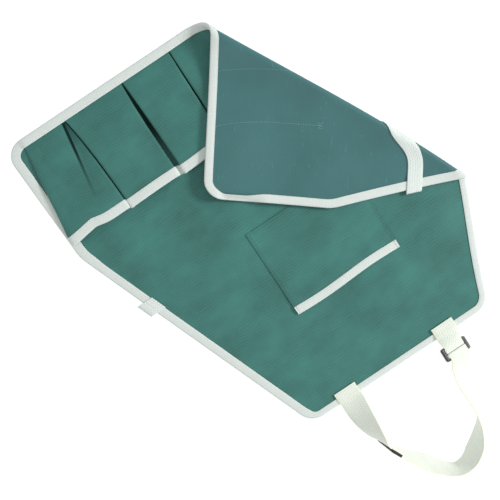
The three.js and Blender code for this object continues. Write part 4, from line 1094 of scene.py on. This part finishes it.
class APRON_OT_waist_belt(BuildOperator):
    """Makes the waist belt, across the back and over the roll, with its ends sewn to the bindings."""

    bl_idname = "apron.waist_belt"
    bl_label = "Waist belt"

    def build(self, context, cloth):
        p, straps = cloth.p, cloth.straps
        off = BELT_GAP + straps.belt / 2
        high, low = p.cloth + p.tape_gap + p.tape + off, -p.tape_gap - p.tape - off
        turn_in = -3

        def end(loop, edge, side):
            """The belt's end from its lap in front, round the edge and in behind, as s, h and side."""
            rows = [(x, high) for x in np.linspace(straps.belt_lap, turn_in, 8)]
            for angle in np.linspace(0, math.pi, 14)[1:-1]:
                rows.append((turn_in - (loop + turn_in) * math.sin(angle),
                             (high + low) / 2 + (high - low) / 2 * math.cos(angle)))
            rows += [(x, low) for x in np.linspace(turn_in, p.tape_width + 5, 8)]
            return [(edge + side * x, h, side) for x, h in rows]

        height = straps.belt_height
        left, right = float(cloth.left(np.float64(height))), float(cloth.right(np.float64(height)))
        first, last = left + p.tape_width + 30, right - p.tape_width - 12
        path = end(straps.belt_loop, left, 1) + [(s, -off, 0) for s in np.arange(first, last, BELT_STEP)]
        path = np.array(path + end(straps.belt_loop * RIGHT_LOOP, right, -1)[::-1])
        course = height + np.interp(path[:, 0], *BELT_COURSE)
        course = np.convolve(np.pad(course, 4, mode="edge"), np.ones(9) / 9, mode="valid")
        section = webbing_section(straps.belt_width, straps.belt)
        lean = np.gradient(course) / np.maximum(np.abs(np.gradient(path[:, 0])), 1.0)
        lean = np.where(path[:, 2] == 0, np.clip(lean, -1.5, 1.5), 0)
        way = unit(np.gradient(path[:, :2], axis=0))
        rings = []
        for (s, h, side), (along, up), middle_t, tilt in zip(path, way, course, lean):
            square = 1 / math.hypot(1, tilt)
            edge = (side * cloth.edge_slant(height) - tilt * square) * section[:, 0]
            rings.append(cloth.over(s + edge - up * section[:, 1], middle_t + section[:, 0] * square,
                                    h + along * section[:, 1]))
        rings = np.array(rings)
        uvs = unrolled(section[:, 0], distances(rings[:, 0]))
        thing = swept("waist_belt_webbing", rings, uvs, marks=selvedges(section, len(rings)))
        dress(thing, "belt_webbing")
        ride_as(thing, "webbing", "waist_belt")


# The neck loop from its lap on the bib's left to its lap on the right. across is a share of half
# the hem width from the middle, up a share of the loop's reach past the bib, height a share of the
# strap's width, and the last three the way across the strap from its outer to its inner edge.
NECK_STATIONS = [
    (0.286, -0.0833, 0.14, -1, 0, 0.01),
    (0.286, -0.03, 0.14, -1, 0, 0.01),
    (0.284, 0.02, 0.15, -1, 0, 0.05),
    (0.288, 0.156, 0.38, -0.93, 0.08, 0.37),
    (0.287, 0.298, 0.68, -0.7, 0.27, 0.66),
    (0.279, 0.41, 0.85, -0.38, 0.36, 0.85),
    (0.262, 0.503, 0.68, -0.2, 0.46, 0.87),
    (0.233, 0.595, 0.46, -0.06, 0.56, 0.83),
    (0.193, 0.695, 0.43, 0.08, 0.56, 0.82),
    (0.15, 0.79, 0.4, 0.2, 0.62, 0.74),
    (0.095, 0.9, 0.42, 0.08, 0.6, 0.79),
    (0.045, 0.96, 0.47, -0.12, 0.44, 0.89),
    (-0.013, 0.955, 0.46, -0.29, 0.44, 0.85),
    (-0.067, 0.899, 0.45, -0.42, 0.38, 0.82),
    (-0.11, 0.825, 0.535, -0.27, 0.2, 0.93),
    (-0.147, 0.746, 0.545, -0.03, 0.0, 1.0),
    (-0.172, 0.66, 0.5, 0.19, -0.22, 0.95),
    (-0.19, 0.559, 0.4, 0.44, -0.55, 0.71),
    (-0.207, 0.431, 0.34, 0.68, -0.5, 0.5),
    (-0.238, 0.285, 0.28, 0.9, -0.22, 0.36),
    (-0.255, 0.15, 0.24, 0.96, -0.05, 0.24),
    (-0.264, 0.02, 0.16, 0.99, 0, 0.08),
    (-0.266, -0.03, 0.14, 1, 0, 0.01),
    (-0.266, -0.0833, 0.14, 1, 0, 0.01),
]
SLIDER_STATIONS = (6, 20)
SLIDER_REACH = 13
# The side of the strap that each slider's end bars lie on, and how much a slider narrows the strap
THREADED_SIDE = (-1, 1)
NARROWED = 0.13
# The sliders' rails beside the strap: where their inner edges are in the solids, and how far the
# moulding's swell brings them in, in mm
RAIL_FROM = 18.0
RAIL_EDGE = 2.5
RAIL_SWELL = 2.6
# The frame's share of extra thickness, past the middle bar's half width
FRAME_SWELL = 0.45
MIDDLE_BAR = 3
# From one ring of the neck strap to the next, and of the belt
NECK_STEP, BELT_STEP = 2.0, 3.0
# The belt's right loop, as a share of its left one
RIGHT_LOOP = 0.4
# How the strap passes a slider, from its middle: distance along the strap, place along the slider,
# and how far off its own line. It goes under the middle bar, up beside it and over the end bar.
THREADING = ([0, 1.3, 2.6, 5.2, 6.6, 8.2, 11, 14, 18, 24],
             [0, 1.2, 2.05, 1.9, 0.95, 2.6, 5.6, 9.2, 15.5, 24],
             [-2.55, -2.5, -1.7, 0.9, 2.4, 3.1, 2.8, 2.6, 1.6, 0])


def centripetal(points, count):
    """A smooth line through the points, of the same kind as the solids' strap follows."""
    padded = np.concatenate([[2 * points[0] - points[1]], points, [2 * points[-1] - points[-2]]])
    line, at = [], []
    for i in range(len(points) - 1):
        p0, p1, p2, p3 = padded[i:i + 4]
        d = [max(1e-4, math.sqrt(np.linalg.norm(b - a))) for a, b in ((p0, p1), (p1, p2), (p2, p3))]
        t1 = (p1 - p0) / d[0] - (p2 - p0) / (d[0] + d[1]) + (p2 - p1) / d[1]
        t2 = (p2 - p1) / d[1] - (p3 - p1) / (d[1] + d[2]) + (p3 - p2) / d[2]
        t1, t2 = t1 * d[1], t2 * d[1]
        square, cube = 3 * (p2 - p1) - 2 * t1 - t2, 2 * (p1 - p2) + t1 + t2
        for x in np.linspace(0, 1, count, endpoint=False):
            line.append(p1 + t1 * x + square * x ** 2 + cube * x ** 3)
            at.append(i + x)
    line.append(points[-1])
    at.append(len(points) - 1)
    return np.array(line), np.array(at)


def squared(way, across):
    """Ways made square to the ways across."""
    return way - across * np.sum(way * across, 1, keepdims=True)


class NeckLine:
    """The neck strap's line with its way across, and where the sliders sit on it."""

    def __init__(self, cloth):
        stations = np.array(NECK_STATIONS, float)
        sizes = (cloth.width / 2, cloth.straps.reach, cloth.straps.strap_width)
        points = stations[:, :3] * sizes + (0, cloth.height, 0) + cloth.middle
        self.line, at = centripetal(points, 80)
        self.run = distances(self.line)
        self.station_run = np.interp(np.arange(len(points)), at, self.run)
        self.across = stations[:, 3:]
        self.length = float(self.run[-1])
        self.sliders = [(x, self.plain(np.array([x]))) for x in self.station_run[list(SLIDER_STATIONS)]]

    def plain(self, x):
        """Places, ways along and ways across of the strap's own line at distances along it."""
        def read(x, run, values):
            return np.stack([np.interp(x, run, values[:, k]) for k in range(3)], 1)

        ahead, behind = np.minimum(x + 0.5, self.length), np.maximum(x - 0.5, 0)
        way = read(ahead, self.run, self.line) - read(behind, self.run, self.line)
        across = unit(read(x, self.station_run, self.across))
        return read(x, self.run, self.line), unit(squared(way, across)), across

    def threaded(self, x):
        """Places, ways across, faces and widths of the strap at distances along it."""
        place, way, across = self.plain(x)
        lift, width = np.zeros(len(x)), np.ones(len(x))
        for (at, (middle, straight, level)), side in zip(self.sliders, THREADED_SIDE):
            a = x - at
            drawn = np.interp(np.abs(a), THREADING[0], THREADING[1])
            moved = np.where(np.abs(a) < THREADING[0][-1], np.sign(a) * drawn - a, 0)
            hold = (1 - onset(np.abs(a), SLIDER_REACH, 14))[:, None]
            place = mix(place, middle + straight * a[:, None], hold) + way * moved[:, None]
            across = mix(across, level, hold)
            way = mix(way, straight, hold)
            lift += side * np.interp(np.abs(a), THREADING[0], THREADING[2])
            width -= NARROWED * hold[:, 0]
        across = unit(across)
        face = unit(np.cross(across, way))
        if face[0, 2] < 0:
            face = -face
        place = place + face * lift[:, None]
        turned = unit(np.cross(across, squared(np.gradient(place, axis=0), across)))
        turned *= np.sign(np.sum(turned * face, 1, keepdims=True))
        return place, across, turned, width


class APRON_OT_neck_strap(BuildOperator):
    """Makes the neck strap, sewn to the bib and threaded through its two sliders."""

    bl_idname = "apron.neck_strap"
    bl_label = "Neck strap"

    def build(self, context, cloth):
        neck = NeckLine(cloth)
        x = np.linspace(0, neck.length, round(neck.length / NECK_STEP))
        closer = [np.linspace(at - 16, at + 16, 65) for at, _ in neck.sliders]
        x = np.unique(np.round(np.concatenate([x, *closer]), 3))
        place, across, face, width = neck.threaded(x)
        section = webbing_section(cloth.straps.strap_width, cloth.straps.strap)
        wide = section[:, :1] * width[:, None, None]
        rings = place[:, None] + across[:, None] * wide + face[:, None] * section[:, 1:]
        uvs = unrolled(section[:, 0], x)
        thing = swept("neck_strap_webbing", rings, uvs, marks=selvedges(section, len(rings)))
        dress(thing, "neck_webbing")
        ride_as(thing, "webbing", "neck_strap")


class APRON_OT_sliders(BuildOperator):
    """Makes the two moulded sliders: a flat frame with a middle bar, its edges rounded."""

    bl_idname = "apron.sliders"
    bl_label = "Sliders"

    def build(self, context, cloth):
        nodes = ("neck_slider_left", "neck_slider_right")
        for node, (_, (middle, straight, level)) in zip(nodes, NeckLine(cloth).sliders):
            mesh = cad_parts[node].data.copy()
            mesh.materials.clear()
            thing = bpy.data.objects.new(node.replace("neck_slider", "slider"), mesh)
            context.scene.collection.objects.link(thing)
            work = bmesh.new()
            work.from_mesh(mesh)
            bmesh.ops.remove_doubles(work, verts=work.verts, dist=1e-6)
            bmesh.ops.dissolve_limit(work, angle_limit=math.radians(2), verts=work.verts, edges=work.edges)
            # The rails swell inwards beside the narrowed strap, and the frame is thicker than its bar
            level, straight = Vector(level[0]), Vector(straight[0])
            through = level.cross(straight)
            for vertex in work.verts:
                place = vertex.co / MM - Vector(middle[0])
                along = place.dot(level)
                if RAIL_FROM < abs(along) < RAIL_FROM + RAIL_EDGE:
                    vertex.co -= level * math.copysign(RAIL_SWELL * MM, along)
                if abs(place.dot(straight)) > MIDDLE_BAR:
                    vertex.co += through * place.dot(through) * FRAME_SWELL * MM
            work.to_mesh(mesh)
            work.free()
            bevel = thing.modifiers.new("moulded_edges", "BEVEL")
            bevel.width = 0.8 * MM
            bevel.segments = 3
            bevel.limit_method = "ANGLE"
            mesh.polygons.foreach_set("use_smooth", [True] * len(mesh.polygons))
            made_plain(thing, context)
            sharp_edges(thing, 40)
            dress(thing, "moulded_nylon")
            ride_as(thing, "slider", node)


# Stitches

# How much thinner a stitch is at its ends, how far the rows run from the lip of the edge tape, and
# how far the boxes on the neck strap stand in from its edges
STITCH_TAPER = 4.4
FROM_LIP = 2.2
BOX_INSET = 3.5


def stitch_tree():
    """Geometry Nodes that lay one short thread after another along every line of a mesh."""
    tree = bpy.data.node_groups.new("stitches_along_lines", "GeometryNodeTree")
    for name, kind, default in (
        ("Geometry", "Geometry", None), ("Pitch", "Float", 3.0 * MM), ("Stitch length", "Float", 2.2 * MM),
        ("Thread radius", "Float", 0.26 * MM), ("Sides", "Int", 6), ("Thread", "Material", None),
    ):
        socket = tree.interface.new_socket(name, in_out="INPUT", socket_type="NodeSocket" + kind)
        if default is not None:
            socket.default_value = default
    tree.interface.new_socket("Geometry", in_out="OUTPUT", socket_type="NodeSocketGeometry")
    given = tree.nodes.new("NodeGroupInput").outputs
    lines = add(tree, "GeometryNodeMeshToCurve", {"Mesh": given["Geometry"]})
    spaced = add(tree, "GeometryNodeResampleCurve", {"Curve": lines, "Length": given["Pitch"]}, mode="LENGTH")
    way = add(tree, "GeometryNodeInputTangent", {})
    turned = add(tree, "FunctionNodeAlignRotationToVector", {"Vector": way}, axis="Z")
    body = add(tree, "ShaderNodeMath", {0: given["Stitch length"], 1: given["Thread radius"]},
               operation="SUBTRACT")
    thread = add(tree, "GeometryNodeMeshCylinder", {
        "Vertices": given["Sides"], "Side Segments": 3, "Radius": given["Thread radius"], "Depth": body,
    }, fill_type="TRIANGLE_FAN")
    # The thread dips into the cloth at both ends of a stitch: its ends are drawn thinner
    place = add(tree, "GeometryNodeInputPosition", {})
    parts = add(tree, "ShaderNodeSeparateXYZ", {"Vector": place}).outputs
    up = add(tree, "ShaderNodeMath", {0: parts["Z"]}, operation="ABSOLUTE")
    reach = add(tree, "ShaderNodeMath", {0: up, 1: body}, operation="DIVIDE")
    bend = add(tree, "ShaderNodeMath", {0: reach, 1: 3.0}, operation="POWER")
    thin = toned(tree, 1.0, (bend, -STITCH_TAPER))
    slim = add(tree, "ShaderNodeCombineXYZ", {"Z": parts["Z"]})
    for axis in ("X", "Y"):
        thinned = add(tree, "ShaderNodeMath", {0: parts[axis], 1: thin}, operation="MULTIPLY")
        plug(tree, slim, {axis: thinned})
    tapered = add(tree, "GeometryNodeSetPosition", {"Geometry": thread, "Position": slim})
    laid = add(tree, "GeometryNodeInstanceOnPoints",
               {"Points": spaced, "Instance": tapered, "Rotation": turned})
    real = add(tree, "GeometryNodeRealizeInstances", {"Geometry": laid})
    smooth = add(tree, "GeometryNodeSetShadeSmooth", {"Geometry": real})
    dressed = add(tree, "GeometryNodeSetMaterial", {"Geometry": smooth, "Material": given["Thread"]})
    add(tree, "NodeGroupOutput", {"Geometry": dressed})
    return tree


def stitch(name, lines, thread, slot, context, fineness=1.0):
    """Sews along lines, each an array of points in millimetres. Finer stitches are shorter, thinner
    and further apart."""
    sizes = context.scene.apron_thread
    points, edges = [], []
    for line in lines:
        start = len(points)
        points += (line * MM).tolist()
        edges += [(start + i, start + i + 1) for i in range(len(line) - 1)]
    mesh = bpy.data.meshes.new(name + "_lines")
    mesh.from_pydata(points, edges, [])
    thing = bpy.data.objects.new(name, mesh)
    context.scene.collection.objects.link(thing)
    tree = bpy.data.node_groups.get("stitches_along_lines") or stitch_tree()
    modifier = thing.modifiers.new("stitches", "NODES")
    modifier.node_group = tree
    values = {
        "Pitch": sizes.pitch * fineness, "Stitch length": sizes.stitch / fineness,
        "Thread radius": sizes.radius / fineness, "Sides": sizes.sides, "Thread": finish_of(thread),
    }
    for item in tree.interface.items_tree:
        if item.in_out == "INPUT" and item.name in values:
            modifier[item.identifier] = values[item.name]
    made_plain(thing, context)
    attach(thing, "root")


class APRON_OT_stitches(BuildOperator):
    """Sews the bindings, the pockets and the straps' ends."""

    bl_idname = "apron.stitches"
    bl_label = "Stitches"

    def build(self, context, cloth):
        self.sit = context.scene.apron_thread.radius / MM * 0.35
        stitch("pale_stitching", self.bindings(cloth), "pale_thread", "tape", context)
        stitch("seam_stitching_back", self.seams(cloth), "seam_thread", "cloth", context, 1.25)
        stitch("patch_pocket_stitching", self.patch(cloth), "dark_thread", "cloth", context)
        stitch("strap_stitching", self.straps(cloth), "pale_thread", "webbing", context)

    def over_tape(self, cloth):
        return cloth.p.cloth + cloth.p.tape_gap + cloth.p.tape + self.sit

    def bindings(self, cloth):
        """One row along each edge of the edge binding, and along the pockets' mouths."""
        p, pockets = cloth.p, cloth.pockets
        front, back = self.over_tape(cloth), -p.tape_gap - p.tape - self.sit
        places, inwards, _ = outline(cloth, 2.0)
        places, inwards = (np.concatenate([rows, rows[:1]]) for rows in (places, inwards))
        s, t = (places + inwards * (lip_width(cloth, places) - FROM_LIP)[:, None]).T
        lines = [cloth.over(s, t, front + strip_room(cloth, places)), cloth.over(s, t, back)]
        row = pockets.height - p.tape_width + FROM_LIP
        lines.append(pocket_rows(cloth, pocket_columns(cloth), row, front))
        up = 1 - (pockets.bib_tape - 2.0) / pockets.bib_height
        s, t, h = bib_pocket_place(cloth, np.linspace(0.01, 0.99, 60), up)
        return lines + [cloth.over(s, t, h + front)]

    def seams(self, cloth):
        """The pockets' seams show on the cloth's back, with a bar tack at the mouths."""
        pockets = cloth.pockets
        lines = []
        heights = np.linspace(cloth.p.tape_width, pockets.height - 3, 80)
        opened = np.interp(heights / pockets.height, *OPENING)
        left, right = cloth.left(heights), cloth.right(heights)
        for seam in SEAMS:
            s = left + mix(seam.foot, seam.mouth, opened) * (right - left)
            lines.append(cloth.over(s, heights, -self.sit))
            tack = s[-1] + np.linspace(-4, 4, 6)
            lines += [cloth.over(tack, heights[-1] + off, -self.sit) for off in (-3.4, -1.2, 1.0, 3.2)]
        return lines

    def patch(self, cloth):
        """The patch pocket is edged with two close rows, and barred across its tape's ends."""
        pockets = cloth.pockets
        lines = []
        around = np.linspace(0.02, 0.93, 90)
        for inset in (1.3, 4.2):
            side, foot = inset / pockets.bib_width, inset / pockets.bib_height
            path = [(side, up) for up in around[::-1]]
            path += [(x, foot) for x in np.linspace(side, 1 - side, 110)]
            path += [(1 - side, up) for up in around]
            share, up = np.array(path).T
            s, t, h = bib_pocket_place(cloth, share, np.maximum(up, foot))
            lines.append(cloth.over(s, t, h + cloth.p.cloth + self.sit))
        across = np.linspace(1.0, pockets.bib_tape - 1.0, 12)
        for share in (0.018, 0.982):
            s, t, h = bib_pocket_place(cloth, share, 1 - across / pockets.bib_height)
            lines.append(cloth.over(s, t, h + self.over_tape(cloth) + 0.2))
        return lines

    def straps(self, cloth):
        """A box through each end of the neck strap, and two rows through the belt's left end."""
        straps = cloth.straps
        lines = []
        neck = NeckLine(cloth)
        half, high = straps.strap_width / 2 - BOX_INSET, straps.strap / 2 + self.sit
        for start, sign in ((0.0, 1), (neck.length, -1)):
            near, far = start + sign * 3, start + sign * (straps.strap_lap - 3)
            for at in (near, far):
                place, across, face, _ = neck.threaded(np.array([at - 0.5, at, at + 0.5]))
                lines.append(place[1] + across[1] * np.linspace(-half, half, 24)[:, None] + face[1] * high)
            place, across, face, _ = neck.threaded(np.sort(np.linspace(near, far, 8)))
            lines += [place + across * wide + face * high for wide in (-half, half)]
        height, half = straps.belt_height, straps.belt_width / 2 - 2.5
        across = np.linspace(-half, half, 16)
        for inward in (2.5, straps.belt_lap - 2.5):
            s = float(cloth.left(np.float64(height))) + inward + cloth.edge_slant(height) * across
            lines.append(cloth.over(s, height + across, self.over_tape(cloth) + BELT_GAP + straps.belt))
        return lines


# The stage, in metres: the floor, the camera's height and how wide it sees there, and the way up and
# to the right in its picture. The picture's middle is in mm from the middle of the flat hem.
FLOOR_REACH, FLOOR_LEVEL = 4.0, -0.0004
CAMERA_HEIGHT, SEEN = 1.7, 0.784
PICTURE_UP, PICTURE_RIGHT = (-0.556, -0.831, 0.0), (-0.831, 0.556, 0.0)
PICTURE_CENTRE = (96.3, 342.3, 0.0)


class APRON_OT_stage(BuildOperator):
    """Makes the floor, the lights and the camera, which looks straight down."""

    bl_idname = "apron.stage"
    bl_label = "Stage"

    def build(self, context, cloth):
        scene = context.scene
        mesh = bpy.data.meshes.new("studio_floor")
        corners = ((-1, -1), (1, -1), (1, 1), (-1, 1))
        corners = [(x * FLOOR_REACH, y * FLOOR_REACH, FLOOR_LEVEL) for x, y in corners]
        mesh.from_pydata(corners, [], [(0, 1, 2, 3)])
        floor = bpy.data.objects.new("studio_floor", mesh)
        scene.collection.objects.link(floor)
        dress(floor, "studio_floor")

        world = bpy.data.worlds.new("soft_room")
        world.use_nodes = True
        background = world.node_tree.nodes["Background"]
        plug(world.node_tree, background, {"Color": linear("ffffff"), "Strength": 0.54})
        scene.world = world

        up, right = Vector(PICTURE_UP), Vector(PICTURE_RIGHT)
        centre = Vector(PICTURE_CENTRE) * MM + Vector(cloth.middle) * MM
        for name, along_up, along_right, height, size, power in (
            ("window_light", 1.0, 3.9, 2.6, 1.4, 180.0),
            ("fill_light", -2.4, -1.4, 4.5, 3.5, 45.0),
        ):
            light = bpy.data.lights.new(name, "AREA")
            light.shape = "DISK"
            light.size = size
            light.energy = power
            holder = bpy.data.objects.new(name, light)
            holder.location = centre + up * along_up + right * along_right + Vector((0, 0, height))
            holder.rotation_mode = "QUATERNION"
            holder.rotation_quaternion = (centre - holder.location).to_track_quat("-Z", "Y")
            scene.collection.objects.link(holder)

        camera = bpy.data.cameras.new("camera")
        camera.lens = camera.sensor_width * CAMERA_HEIGHT / SEEN
        camera.clip_end = 20.0
        holder = bpy.data.objects.new("camera", camera)
        turn = Matrix((right, up, Vector((0, 0, 1)))).transposed()
        holder.matrix_world = Matrix.Translation(centre + Vector((0, 0, CAMERA_HEIGHT))) @ turn.to_4x4()
        scene.collection.objects.link(holder)
        scene.camera = holder
        scene.view_settings.view_transform = "Standard"
        scene.view_settings.look = "None"
        scene.view_settings.exposure = 0.0


class APRON_PT_panel(bpy.types.Panel):
    """Lists the apron's sizes and builders."""

    bl_idname = "APRON_PT_panel"
    bl_label = "Gardening work apron"
    bl_space_type = "VIEW_3D"
    bl_region_type = "UI"
    bl_category = "Apron"

    def draw(self, context):
        for name, group in GROUPS.items():
            box = self.layout.box()
            box.label(text=group.__doc__.split(".")[0])
            for prop in group.__annotations__:
                box.prop(getattr(context.scene, name), prop)
        for operator in BUILDERS:
            self.layout.operator(operator.bl_idname)


BUILDERS = [
    APRON_OT_stage, APRON_OT_sheet, APRON_OT_binding, APRON_OT_pocket_strip, APRON_OT_bib_pocket,
    APRON_OT_waist_belt, APRON_OT_neck_strap, APRON_OT_sliders, APRON_OT_stitches,
]


def register():
    for group in GROUPS.values():
        bpy.utils.register_class(group)
    for name, group in GROUPS.items():
        setattr(bpy.types.Scene, name, PointerProperty(type=group))
    for operator in BUILDERS:
        bpy.utils.register_class(operator)
    bpy.utils.register_class(APRON_PT_panel)


def unregister():
    bpy.utils.unregister_class(APRON_PT_panel)
    for operator in reversed(BUILDERS):
        bpy.utils.unregister_class(operator)
    for name in GROUPS:
        delattr(bpy.types.Scene, name)
    for group in GROUPS.values():
        bpy.utils.unregister_class(group)


def main():
    register()
    for operator in BUILDERS:
        group, name = operator.bl_idname.split(".")
        getattr(getattr(bpy.ops, group), name)()
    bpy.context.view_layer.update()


if __name__ == "__main__":
    main()
